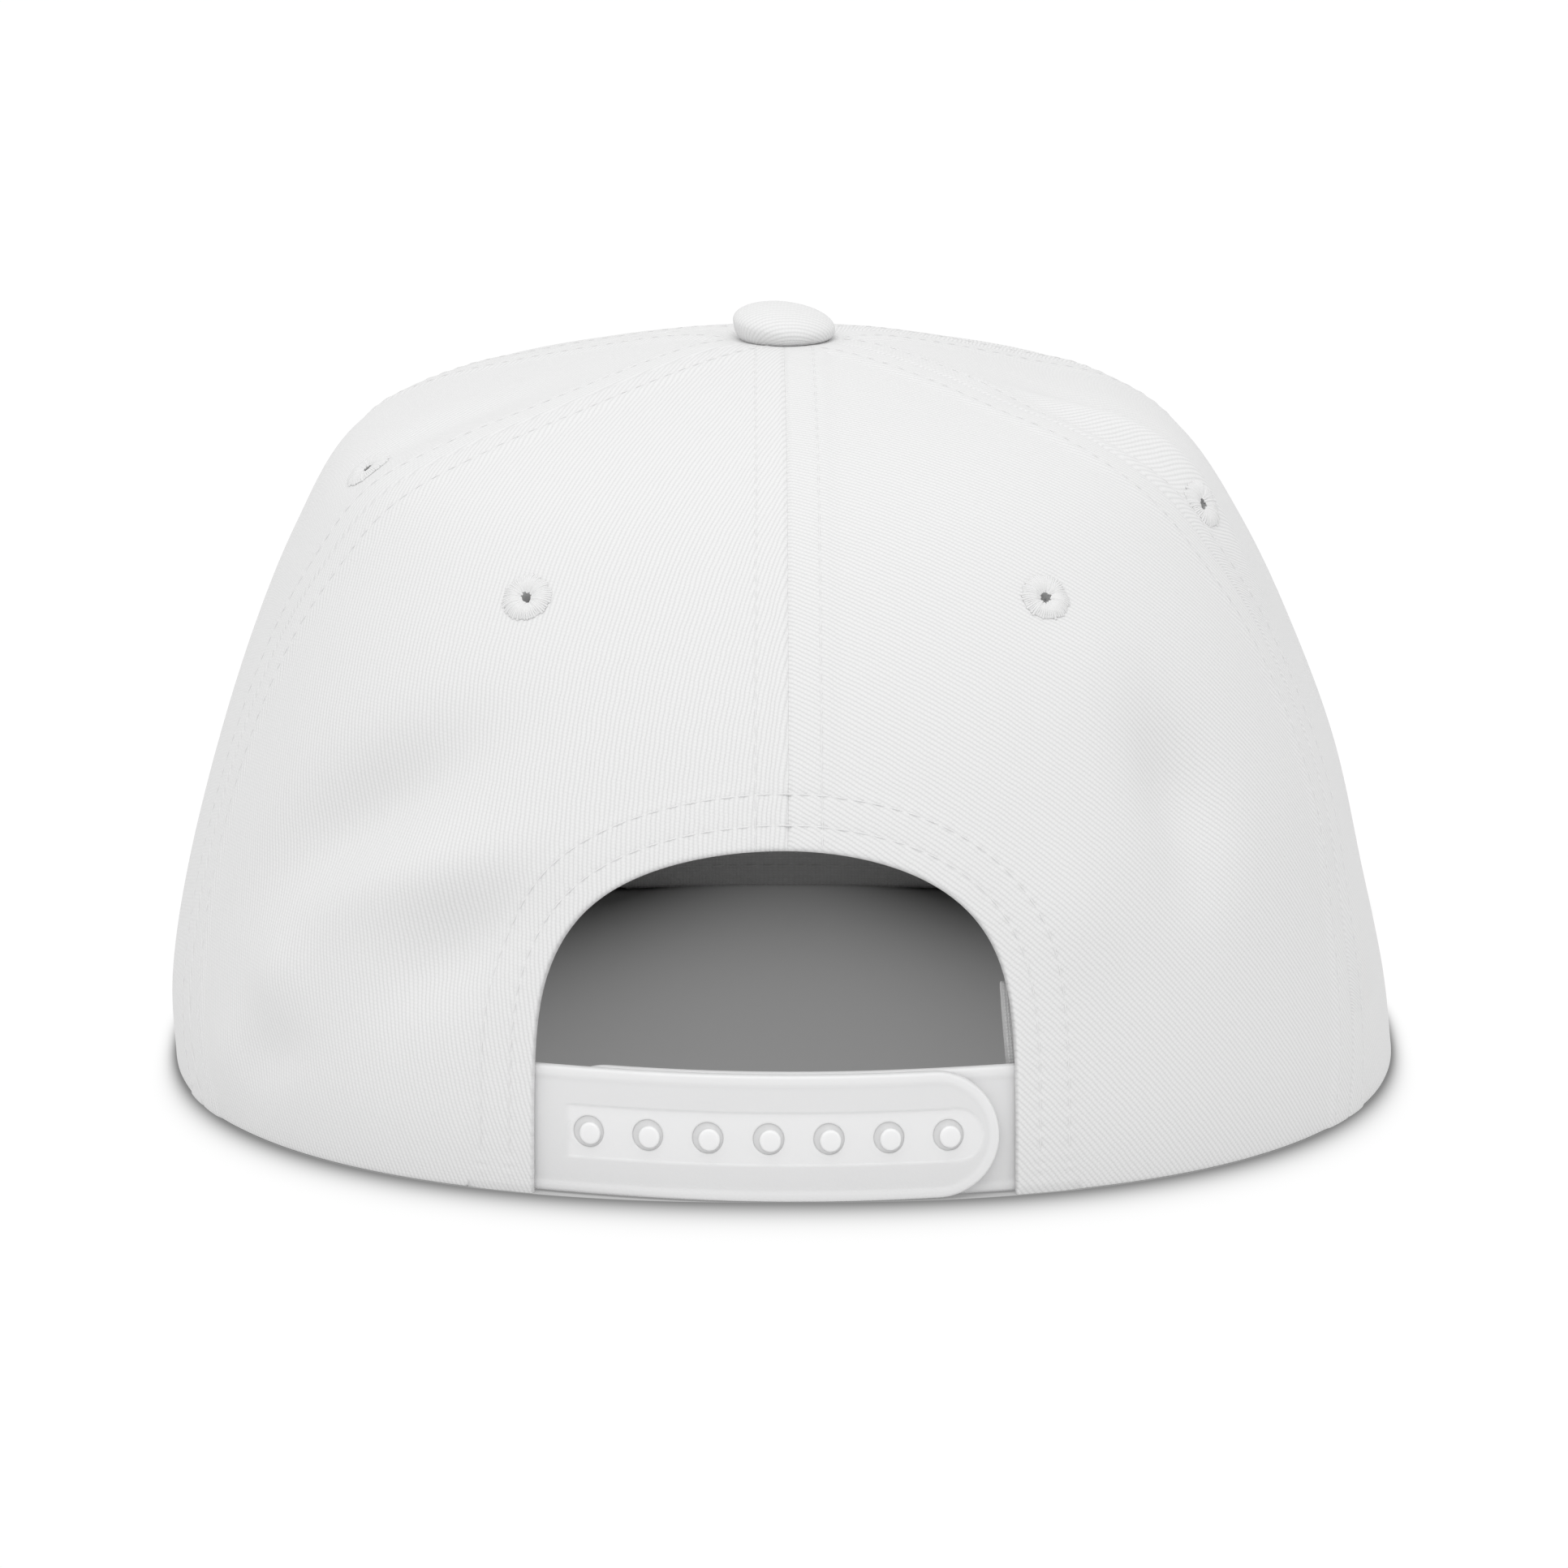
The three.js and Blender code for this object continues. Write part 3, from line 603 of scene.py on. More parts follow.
class Plug:
    """A node's output. Arithmetic on plugs adds Math nodes to their tree."""

    def __init__(self, tree, socket=None):
        self.tree = tree
        self.socket = socket

    def node(self, kind, settings=None, inputs=None, output=0):
        """Adds a node: its settings first, then the values or links of its sockets."""
        made = self.tree.nodes.new(kind)
        for name, value in (settings or {}).items():
            setattr(made, name, value)
        for name, value in (inputs or {}).items():
            if isinstance(value, Plug):
                self.tree.links.new(value.socket, made.inputs[name])
            else:
                made.inputs[name].default_value = value
        return Plug(self.tree, made.outputs[output] if len(made.outputs) else None)

    def math(self, operation, *values):
        return self.node("ShaderNodeMath", {"operation": operation}, dict(enumerate(values)))

    def __add__(self, other):
        return self.math("ADD", self, other)

    def __radd__(self, other):
        return self.math("ADD", other, self)

    def __sub__(self, other):
        return self.math("SUBTRACT", self, other)

    def __rsub__(self, other):
        return self.math("SUBTRACT", other, self)

    def __mul__(self, other):
        return self.math("MULTIPLY", self, other)

    def __rmul__(self, other):
        return self.math("MULTIPLY", other, self)

    def __truediv__(self, other):
        return self.math("DIVIDE", self, other)

    def __pow__(self, other):
        return self.math("POWER", self, other)

    def __abs__(self):
        return self.math("ABSOLUTE", self)

    def part(self, axis):
        """One of the three numbers of a vector."""
        return self.node("ShaderNodeSeparateXYZ", {}, {0: self}, axis)

    def bell(self, width):
        """One where this is zero, falling to nothing over a width."""
        near = self / width
        return self.math("POWER", math.e, -1 * (near * near))


def new_material(name, **uniform):
    """A material whose even values sit on the shader's own sockets."""
    material = bpy.data.materials.new(name)
    material.use_nodes = True
    shader = material.node_tree.nodes["Principled BSDF"]
    for socket, value in uniform.items():
        shader.inputs[socket.replace("_", " ")].default_value = value
    return material, Plug(material.node_tree), shader


def paint(plug, shader, low, high, share, relief):
    """Mixes two colours by a share and stands the surface up by a relief in metres."""
    colour = plug.node("ShaderNodeMix", {"data_type": "RGBA"}, {0: share, 6: low, 7: high}, 2)
    bump = plug.node("ShaderNodeBump", {}, {"Strength": 1, "Distance": 1, "Height": relief})
    plug.tree.links.new(colour.socket, shader.inputs["Base Color"])
    plug.tree.links.new(bump.socket, shader.inputs["Normal"])


def twill_material():
    """White cotton twill. Its ribs climb to the left of the cloth's length, and each rib is
    a row of short yarns. Beside a stitch line the cloth is drawn in and puckers."""
    rib_pitch = 0.65 * mm
    rib_slope = math.radians(33)
    rib_height = 0.05 * mm
    rib_waver = 0.7
    yarn_pitch = 0.5 * mm
    yarn_shift = 0.37
    yarn_height = 0.3 * rib_height
    fuzz_height = 0.5 * rib_height
    rib_tone = 0.55
    yarn_tone = 0.2
    fuzz_tone = 0.25
    drawn_in_width = 0.32 * mm
    drawn_in_depth = 0.02 * mm
    pucker_width = 0.9 * mm
    pucker_depth = 0.03 * mm
    hollow_colour = (0.67, 0.67, 0.67, 1)
    raised_colour = (0.8, 0.8, 0.8, 1)
    material, plug, shader = new_material("twill", Roughness=0.85, Sheen_Weight=0.12,
                                          Sheen_Roughness=0.5, Specular_IOR_Level=0.25)
    cloth = plug.node("ShaderNodeAttribute", {"attribute_name": "cloth"}, {}, "Vector")
    across = cloth.part("X")
    upward = cloth.part("Y")
    uneven = plug.node("ShaderNodeTexNoise", {}, {"Vector": cloth, "Scale": 260, "Detail": 2})
    over_ribs = across * math.cos(rib_slope) + upward * math.sin(rib_slope)
    along_rib = upward * math.cos(rib_slope) - across * math.sin(rib_slope)
    rib_place = over_ribs / rib_pitch + uneven * rib_waver
    rib = abs(plug.math("SINE", rib_place * math.pi))
    rib_number = plug.math("FLOOR", rib_place)
    yarn_place = along_rib / yarn_pitch + rib_number * yarn_shift
    yarn = abs(plug.math("SINE", yarn_place * math.pi))
    fuzz = plug.node("ShaderNodeTexNoise", {}, {"Vector": cloth, "Scale": 2600, "Detail": 3})
    relief = rib * rib_height + yarn * yarn_height + fuzz * fuzz_height
    for name in ("seam_stitch", "hem_stitch"):
        stitch = plug.node("ShaderNodeAttribute", {"attribute_name": name}, {}, "Vector")
        drawn_in = stitch.part("X").bell(drawn_in_width)
        beside = stitch.part("X").bell(pucker_width)
        pucker = plug.math("COSINE", stitch.part("Y") * (2 * math.pi / stitch_pitch))
        relief = relief - drawn_in * drawn_in_depth - pucker * beside * pucker_depth
    # The hollows between ribs and yarns are painted darker, as painted shade.
    shade = rib_tone * rib + yarn_tone * yarn + fuzz_tone * fuzz
    paint(plug, shader, hollow_colour, raised_colour, shade, relief)
    return material


twill = twill_material()


def ride_in_place(piece, slot, *nodes):
    """The piece rides with the cap and stands for CAD nodes. The slot is not used."""
    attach(piece, "root")
    if nodes:
        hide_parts(*nodes)


for name, gore in gores.items():
    places, faces = gore.grid()
    eyelet = np.array(eyelet_places[name.removesuffix("_panel")], float)
    eyelet_centre = smooth_crown(*eyelet)

    def outside_eyelet(places):
        away = smooth_crown(places[:, 0], places[:, 1]) - eyelet_centre
        return np.linalg.norm(away, axis=-1) - eyelet_hole_radius

    places, faces, rim = cut(places, faces, outside_eyelet)
    if name.startswith("back"):
        places, faces = cut_opening(places, faces)
    bearing, up, hem, run = places.T
    share = gore.share(bearing, up)
    from_start = gore.look_up(gore.from_start, share, up)
    from_end = gore.look_up(gore.from_end, share, up)
    seam = np.minimum(from_start, from_end)
    seam_stitch = seam - seam_stitch_distance(up)
    flat_across = gore.look_up(gore.flat_across, share, up)
    flat_up = gore.look_up(gore.flat_up, share, up)
    face = crown_face(bearing, up)
    outward = facing(crown_face, bearing, up)[2]
    rim_height = smooth_crown(bearing, up)[:, 2] - rim_lift(bearing)
    outward[:, 2] *= smoothstep(rim_height, 0, rim_level_height)
    outward = unit(outward)
    turned = np.maximum(fold(rim_height), fold(hem))
    inset = np.where(from_start < from_end, 1, -1) * seam_gap / 2 * np.exp(-seam / mm)
    level = facing(smooth_crown, bearing, up)[0]
    face = face + level * inset[:, None]
    relief = sewn_relief(seam, hem, seam_stitch, up) - turned
    hem_line = np.abs(hem - sum(hem_stitch_lines) / 2)
    hem_line = hem_line - (hem_stitch_lines[1] - hem_stitch_lines[0]) / 2
    turn = math.radians(grain_turns.get(name, 0))
    across_cloth = flat_across * math.cos(turn) + flat_up * math.sin(turn)
    up_cloth = flat_up * math.cos(turn) - flat_across * math.sin(turn)
    values = {
        "cloth": flat_vectors(across_cloth, up_cloth),
        "seam_stitch": flat_vectors(seam_stitch, flat_up),
        "hem_stitch": flat_vectors(hem_line, run),
    }
    outer = face + outward * relief[:, None]
    inner = face - outward * (crown_wall - turned)[:, None]
    panel = wall(name, faces, outer, inner, twill, values)
    ride_in_place(panel, "twill", name)


# Stitches. White sewing thread runs down both sides of every seam and twice round the
# opening. Each stitch dives into the cloth at both ends.
thread_radius = 0.11 * mm
stitch_length = 2.2 * mm
stitch_start_up = 0.012
stitch_end_up = 0.935
stitch_rim_clearance = 1 * mm
stitch_hem_clearance = 0.8 * mm
stitch_seam_clearance = 1.5 * mm
seam_path_points = 160
hem_path_points = 200
hem_path_turns = (89.5, 0.2)


def thread_material():
    """White spun thread, with fine uneven fibres."""
    hollow_colour = (0.7, 0.7, 0.7, 1)
    raised_colour = (0.8, 0.8, 0.8, 1)
    fibre_height = 0.008 * mm
    material, plug, shader = new_material("thread", Roughness=0.6, Sheen_Weight=0.2)
    place = plug.node("ShaderNodeTexCoord", {}, {}, "Object")
    fibre = plug.node("ShaderNodeTexNoise", {}, {"Vector": place, "Scale": 3500, "Detail": 2})
    paint(plug, shader, hollow_colour, raised_colour, fibre, fibre * fibre_height)
    return material


thread = thread_material()


def sewing_tree():
    """A node tree that lays stitches along a path whose points know their outward way."""
    tree = bpy.data.node_groups.new("sewing", "GeometryNodeTree")
    sockets = tree.interface
    sockets.new_socket("Path", in_out="INPUT", socket_type="NodeSocketGeometry")
    for name in ("Pitch", "Length", "Radius", "Rise", "Dive", "Turn", "Unevenness"):
        sockets.new_socket(name, in_out="INPUT", socket_type="NodeSocketFloat")
    sockets.new_socket("Seed", in_out="INPUT", socket_type="NodeSocketInt")
    sockets.new_socket("Thread", in_out="INPUT", socket_type="NodeSocketMaterial")
    sockets.new_socket("Stitches", in_out="OUTPUT", socket_type="NodeSocketGeometry")
    start = tree.nodes.new("NodeGroupInput")
    given = {socket.name: Plug(tree, socket) for socket in start.outputs if socket.name}
    plug = Plug(tree)
    curve = plug.node("GeometryNodeMeshToCurve", {}, {0: given["Path"]})
    points = plug.node("GeometryNodeResampleCurve", {"mode": "LENGTH"},
                       {"Curve": curve, "Length": given["Pitch"]})
    outward = plug.node("GeometryNodeInputNamedAttribute", {"data_type": "FLOAT_VECTOR"},
                        {"Name": "outward"})
    along = plug.node("GeometryNodeInputTangent")
    facing_out = plug.node("FunctionNodeAxesToRotation",
                           {"primary_axis": "Z", "secondary_axis": "X"},
                           {"Primary Axis": outward, "Secondary Axis": along})
    turn = plug.node("ShaderNodeCombineXYZ", {}, {"Z": given["Turn"]})
    turned = plug.node("FunctionNodeRotateRotation", {"rotation_space": "LOCAL"},
                       {"Rotation": facing_out,
                        "Rotate By": plug.node("FunctionNodeEulerToRotation", {}, {0: turn})})
    half = given["Length"] * 0.5
    left = plug.node("ShaderNodeCombineXYZ", {}, {"X": half * -1, "Z": given["Dive"] * -1})
    right = plug.node("ShaderNodeCombineXYZ", {}, {"X": half, "Z": given["Dive"] * -1})
    top = plug.node("ShaderNodeCombineXYZ", {}, {"Z": given["Rise"]})
    line = plug.node("GeometryNodeCurveQuadraticBezier", {},
                     {"Resolution": 6, "Start": left, "Middle": top, "End": right})
    ring = plug.node("GeometryNodeCurvePrimitiveCircle", {},
                     {"Resolution": 6, "Radius": given["Radius"]})
    stitch = plug.node("GeometryNodeCurveToMesh", {},
                       {"Curve": line, "Profile Curve": ring, "Fill Caps": True})
    size = plug.node("FunctionNodeRandomValue", {"data_type": "FLOAT"},
                     {2: 1 - given["Unevenness"], 3: 1 + given["Unevenness"],
                      "Seed": given["Seed"]}, 1)
    laid = plug.node("GeometryNodeInstanceOnPoints", {},
                     {"Points": points, "Instance": stitch, "Rotation": turned, "Scale": size})
    real = plug.node("GeometryNodeRealizeInstances", {}, {0: laid})
    smooth = plug.node("GeometryNodeSetShadeSmooth", {}, {0: real})
    made = plug.node("GeometryNodeSetMaterial", {},
                     {"Geometry": smooth, "Material": given["Thread"]})
    plug.node("NodeGroupOutput", {}, {0: made})
    return tree


sewing = sewing_tree()


def sew(name, paths, **sizes):
    """Lays stitches along paths, each a list of points, of outward ways and whether it
    closes, and returns them as one plain mesh."""
    points = np.concatenate([path[0] for path in paths])
    ways = np.concatenate([path[1] for path in paths])
    edges = []
    first = 0
    for path in paths:
        count = len(path[0])
        edges += [(first + i, first + i + 1) for i in range(count - 1)]
        if path[2]:
            edges.append((first + count - 1, first))
        first += count
    route = new_piece(name + "_route", points, [], None, edges, {"outward": ways})
    modifier = route.modifiers.new("sewing", "NODES")
    modifier.node_group = sewing
    identifiers = {item.name: item.identifier for item in sewing.interface.items_tree}
    for size_name, value in sizes.items():
        modifier[identifiers[size_name]] = value
    evaluated = route.evaluated_get(bpy.context.evaluated_depsgraph_get())
    mesh = bpy.data.meshes.new_from_object(evaluated)
    mesh.name = name
    bpy.data.objects.remove(route)
    stitches = bpy.data.objects.new(name, mesh)
    bpy.context.scene.collection.objects.link(stitches)
    return stitches


def sewn_path(gore, bearing, up, hem, closed=False):
    """Points on the sewn face of a gore, and their outward ways."""
    share = gore.share(bearing, up)
    seam = np.minimum(gore.look_up(gore.from_start, share, up),
                      gore.look_up(gore.from_end, share, up))
    seam = np.maximum(seam, stitch_seam_clearance)
    relief = sewn_relief(seam, hem, seam - seam_stitch_distance(up), up)
    outward = facing(crown_face, bearing, up)[2]
    points = crown_face(bearing, up) + outward * relief[:, None]
    return points, outward, closed


crown_paths = []
for gore in gores.values():
    for lattice in (gore.from_start, gore.from_end):
        ups = np.linspace(stitch_start_up, stitch_end_up, seam_path_points)
        share = gore.share_beside(seam_stitch_distance(ups), ups, lattice)
        bearing = gore.start(ups) + (gore.end(ups) - gore.start(ups)) * share
        lifted = smooth_crown(bearing, ups)[:, 2] > rim_lift(bearing) + stitch_rim_clearance
        x, y, z = smooth_crown(bearing, ups).T
        turns = np.interp(np.arctan2(z, x), hem_angles, arch_turns)
        edge_x, edge_z = arch(turns, stitch_hem_clearance)
        clear = (y < 0) | (np.hypot(x, z) > np.hypot(edge_x, edge_z))
        chosen = lifted & clear
        past_hem = np.full(chosen.sum(), hem_width)
        crown_paths.append(sewn_path(gore, bearing[chosen], ups[chosen], past_hem))
for line in hem_stitch_lines:
    for side, name in ((1, "back_left_panel"), (-1, "back_right_panel")):
        turns = side * np.linspace(*hem_path_turns, hem_path_points)
        bearing, up = rear_place(*arch(turns, line))
        hem = np.full(hem_path_points, line)
        crown_paths.append(sewn_path(gores[name], bearing, up, hem))
crown_stitches = sew("crown_stitches", crown_paths, Pitch=stitch_pitch, Length=stitch_length,
                     Radius=thread_radius, Rise=0.23 * mm, Dive=0.12 * mm, Turn=0.0,
                     Unevenness=0.06, Seed=4, Thread=thread)
ride_in_place(crown_stitches, "thread")


# Eyelets. Each gore's air hole is bound with thread laid from the hole outward, close
# together all the way round, over a firm ring.
eyelet_radius = 3.3 * mm
eyelet_bore_radius = 1.05 * mm
eyelet_sleeve_radius = 1.6 * mm
eyelet_back_radius = 2.4 * mm
eyelet_back_thickness = 0.5 * mm
back_gap = 0.3 * mm
eyelet_ring_height = 0.35 * mm
eyelet_loops = 58
eyelet_sides = 40


def on_crown(centre, x, y, height):
    """Points beside a centre (bearing, up), at lengths x to the right and y upward on the
    face, and a height over it."""
    bearing, up = centre
    rise = 0.01
    here = crown_face(bearing, up)
    turn_length = np.linalg.norm(crown_face(bearing + 1, up) - here)
    rise_length = np.linalg.norm(crown_face(bearing, up + rise) - here)
    bearing = bearing + x / turn_length
    up = up + rise * y / rise_length
    outward = facing(crown_face, bearing, up)[2]
    return crown_face(bearing, up) + outward * height[..., None], outward


def lathe_faces(rows, sides):
    """Faces of a profile turned all the way round and closed on itself."""
    return [[j * sides + i, j * sides + (i + 1) % sides,
             (j + 1) % rows * sides + (i + 1) % sides, (j + 1) % rows * sides + i]
            for j in range(rows) for i in range(sides)]


def join(name, pieces):
    """Makes one piece of several."""
    with bpy.context.temp_override(active_object=pieces[0], object=pieces[0],
                                   selected_objects=pieces,
                                   selected_editable_objects=pieces):
        bpy.ops.object.join()
    pieces[0].name = name
    pieces[0].data.name = name
    return pieces[0]


back_face = -crown_wall - back_gap
eyelet_profile = [
    (eyelet_bore_radius, back_face - eyelet_back_thickness),
    (eyelet_back_radius, back_face - eyelet_back_thickness),
    (eyelet_back_radius, back_face),
    (eyelet_sleeve_radius, back_face),
    (eyelet_sleeve_radius, 0.05 * mm),
    (eyelet_radius, 0.05 * mm),
    (eyelet_radius - 0.1 * mm, 0.2 * mm),
    (eyelet_radius - 0.7 * mm, eyelet_ring_height),
    (eyelet_bore_radius + 0.7 * mm, eyelet_ring_height),
    (eyelet_bore_radius + 0.2 * mm, 0.25 * mm),
    (eyelet_bore_radius, 0),
]
round_angles = np.linspace(0, 2 * math.pi, eyelet_sides, endpoint=False)
for number, (place_name, place) in enumerate(eyelet_places.items()):
    name = place_name + "_eyelet"
    radius, height = np.array(eyelet_profile)[:, None, :].transpose(2, 0, 1)
    centre = np.array(place, float)
    ring_points, ways = on_crown(centre, radius * np.cos(round_angles),
                                 radius * np.sin(round_angles), height + 0 * round_angles)
    ring = new_piece(name + "_ring", ring_points.reshape(-1, 3),
                     lathe_faces(len(eyelet_profile), eyelet_sides), thread)
    middle_radius = (eyelet_radius + eyelet_bore_radius) / 2
    route, ways = on_crown(centre, middle_radius * np.cos(round_angles),
                           middle_radius * np.sin(round_angles),
                           np.full(eyelet_sides, eyelet_ring_height))
    loop_pitch = 2 * math.pi * middle_radius / eyelet_loops
    loops = sew(name + "_loops", [(route, ways, True)], Pitch=loop_pitch,
                Length=eyelet_radius - eyelet_bore_radius + 0.2 * mm, Radius=0.19 * mm,
                Rise=0.48 * mm, Dive=0.34 * mm, Turn=math.pi / 2, Unevenness=0.18,
                Seed=number, Thread=thread)
    eyelet = join(name, [ring, loops])
    ride_in_place(eyelet, "thread", name)


# Button. A dome covered with the crown's twill, gathered under it, and riveted through the
# crown's top. It sits a little askew, down at the wearer's right and towards the rear.
button_radius = 7.2 * mm
button_lip_radius = 4.9 * mm
button_height = 5.2 * mm
button_seat_gap = 0.15 * mm
button_waist_height = 2.5 * mm
button_stem_radius = 2.4 * mm
rivet_head_radius = 5 * mm
rivet_head_thickness = 0.9 * mm
button_tilt_sideways = math.tan(math.radians(5.5))
button_tilt_rearward = math.tan(math.radians(4))
button_cloth_turn = math.radians(-70)
button_gathers = 23
button_gather_depth = 0.05 * mm
button_sides = 96
button_lip_points = 10
button_dome_points = 24
pole_radius = 0.001 * mm
no_stitch_distance = 1000 * mm

seat = float(smooth_crown(np.array(0.0), np.array(1.0))[2])
inside = seat - crown_wall - back_gap
base = seat + button_seat_gap
waist = base + button_waist_height
profile = [
    (pole_radius, inside - rivet_head_thickness),
    (rivet_head_radius - 0.3 * mm, inside - rivet_head_thickness),
    (rivet_head_radius, inside - rivet_head_thickness + 0.3 * mm),
    (rivet_head_radius, inside),
    (button_stem_radius, inside),
    (button_stem_radius, base + 0.2 * mm),
    (button_lip_radius - 0.6 * mm, base + 0.1 * mm),
]
for angle in np.linspace(-math.pi / 2, 0, button_lip_points, endpoint=False):
    radius = button_lip_radius + (button_radius - button_lip_radius) * math.cos(angle)
    profile.append((radius, waist + button_waist_height * math.sin(angle)))
for angle in np.linspace(0, math.pi / 2, button_dome_points):
    height = waist + (base + button_height - waist) * math.sin(angle)
    profile.append((max(button_radius * math.cos(angle), pole_radius), height))
profile = np.array(profile)
angles = np.linspace(0, 2 * math.pi, button_sides, endpoint=False)
radius = profile[:, None, 0]
height = profile[:, None, 1]
gather = button_gather_depth * np.sin(angles * button_gathers)
gather = gather * (1 - smoothstep(height, base, waist))
gather = gather * (radius > button_lip_radius - 0.1 * mm)
x = (radius + gather) * np.cos(angles)
y = (radius + gather) * np.sin(angles)
raised = smoothstep(height, base - 0.2 * mm, waist)
z = height + raised * (button_tilt_sideways * x - button_tilt_rearward * y)
steps = np.linalg.norm(np.diff(profile, axis=0), axis=-1)
from_top = np.concatenate([np.cumsum(steps[::-1])[::-1], [0]])[:, None]
cloth_angles = angles + button_cloth_turn
over_top = flat_vectors(from_top * np.cos(cloth_angles), from_top * np.sin(cloth_angles))
over_top = over_top.reshape(-1, 3)
button_points = np.stack([x, y, z], axis=-1).reshape(-1, 3)
no_stitch = np.full(over_top.shape, no_stitch_distance)
rows = len(profile)
button_faces = [face for face in lathe_faces(rows, button_sides)
                if max(face) - min(face) <= 2 * button_sides]
button_faces.append(list(reversed(range(button_sides))))
button_faces.append([(rows - 1) * button_sides + i for i in range(button_sides)])
button = new_piece("top_button", button_points, button_faces, twill,
                   values={"cloth": over_top, "seam_stitch": no_stitch, "hem_stitch": no_stitch})
ride_in_place(button, "twill", "top_button")


# Peak. A stiff board covered with the same twill, flat as such caps are sold, with rows
# of stitching that follow its edge. The crown's front is sewn to its inner edge.
peak_length = 68 * mm
peak_width = 175 * mm
peak_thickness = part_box("peak")[1].z
peak_squareness = 2.5
peak_flare_length = 29 * mm
peak_row_first = 6 * mm
peak_row_pitch = 8 * mm
peak_rows = 8
peak_channel_depth = 0.22 * mm
peak_channel_width = 0.8 * mm
peak_edge_flat_share = 0.12
peak_row_slack = 0.15 * mm
peak_row_rim_clearance = 1.05
peak_row_overrun = 5 * mm
peak_row_points = 900
peak_flare_points = 60
peak_corner_points = 160
peak_inner_steps = 58
peak_columns = 280
peak_edge_radius = peak_thickness / 2

flare_end = smooth_crown(np.array(-float(peak_end_bearing)), np.array(0.0))
widest = flare_end[1] - peak_flare_length
front = -crown_length / 2 - peak_length
back = np.linspace(1, 0, peak_flare_points, endpoint=False)
flare_x = peak_width / 2 + (flare_end[0] - peak_width / 2) * back ** 2
flare_y = widest + (flare_end[1] - widest) * back
angle = np.linspace(0, math.pi / 2, peak_corner_points)
corner_x = peak_width / 2 * rounded_power(np.cos(angle), peak_squareness)
corner_y = widest + (front - widest) * rounded_power(np.sin(angle), peak_squareness)
left_x = np.concatenate([flare_x, corner_x])
left_y = np.concatenate([flare_y, corner_y])
edge_line = np.stack([np.concatenate([-left_x, left_x[::-1][1:]]),
                      np.concatenate([left_y, left_y[::-1][1:]])], axis=-1)
edge_run = np.concatenate([[0], np.cumsum(np.linalg.norm(np.diff(edge_line, axis=0), axis=-1))])


def peak_edge(run):
    """Points of the peak's outer edge at lengths along it from the wearer's right."""
    return np.stack([np.interp(run, edge_run, edge_line[:, k]) for k in (0, 1)], axis=-1)


def from_peak_edge(points):
    """How far points lie inside the peak's outer edge."""
    nearest = np.full(len(points), 1.0)
    for start, end in zip(edge_line, edge_line[1:]):
        way = end - start
        share = np.clip((points - start) @ way / (way @ way), 0, 1)
        away = points - start - share[:, None] * way
        nearest = np.minimum(nearest, np.hypot(away[:, 0], away[:, 1]))
    return nearest


peak_runs = np.linspace(0, edge_run[-1], peak_columns)
rim_bearings = np.linspace(-180 + peak_end_bearing, -peak_end_bearing, peak_columns)
crown_edge = smooth_crown(rim_bearings, 0.0)
crown_out = facing(smooth_crown, rim_bearings, np.zeros(peak_columns))[2]
crown_out[:, 2] = 0
crown_edge = (crown_edge - unit(crown_out) * crown_wall)[:, :2]
outer_edge = peak_edge(peak_runs)
inward = np.linalg.norm(crown_edge - outer_edge, axis=-1)
edge_steps = (0, 0.0015, 0.005, 0.011, 0.018, 0.025)
inward_steps = np.concatenate([edge_steps, np.linspace(0.034, 1, peak_inner_steps)])
plan = outer_edge[None] + (crown_edge - outer_edge)[None] * inward_steps[:, None, None]
plan = plan.reshape(-1, 2)
edge_distance = from_peak_edge(plan)
edge_distance[:peak_columns] = 0
near_edge = 1 - np.clip(edge_distance / peak_edge_radius, 0, 1)
half_thickness = peak_edge_radius * np.maximum(
    np.sqrt(1 - near_edge * near_edge), peak_edge_flat_share)
row_place = (edge_distance - peak_row_first) / peak_row_pitch
from_row = np.abs(row_place - np.clip(np.round(row_place), 0, peak_rows - 1)) * peak_row_pitch
channel = np.exp(-(from_row / peak_channel_width) ** 2) * (near_edge == 0)
half_thickness -= peak_channel_depth * channel
middle = peak_thickness / 2
top = np.column_stack([plan, middle + half_thickness])
bottom = np.column_stack([plan, middle - half_thickness])
flat = flat_vectors(*plan.T)
no_stitch = np.full(flat.shape, no_stitch_distance)
peak = wall("peak", grid_faces(len(inward_steps), peak_columns), top, bottom, twill,
            {"cloth": flat, "seam_stitch": flat_vectors(from_row, 0), "hem_stitch": no_stitch})
ride_in_place(peak, "twill", "peak")

peak_paths = []
for row in range(peak_rows):
    distance = peak_row_first + row * peak_row_pitch
    runs = np.linspace(0, edge_run[-1], peak_row_points)
    line = peak_edge(runs)
    along = unit(np.gradient(line, axis=0))
    line = line + np.stack([-along[:, 1], along[:, 0]], axis=-1) * distance
    clear = from_peak_edge(line) > distance - peak_row_slack
    past_rim = (np.abs(line[:, 0]) / (crown_width / 2)) ** crown_squareness
    past_rim = past_rim + (np.abs(line[:, 1]) / (crown_length / 2)) ** crown_squareness
    clear = clear & (past_rim > peak_row_rim_clearance)
    line = line[clear & (line[:, 1] < flare_end[1] + peak_row_overrun)]
    for side in (1, -1):
        height = middle + side * (peak_edge_radius - peak_channel_depth)
        points = np.column_stack([line, np.full(len(line), height)])
        ways = np.tile((0.0, 0.0, float(side)), (len(line), 1))
        peak_paths.append((points, ways, False))
peak_stitches = sew("peak_stitches", peak_paths, Pitch=stitch_pitch, Length=stitch_length,
                    Radius=thread_radius, Rise=0.4 * mm, Dive=0.15 * mm, Turn=0.0,
                    Unevenness=0.06, Seed=9, Thread=thread)
ride_in_place(peak_stitches, "thread")


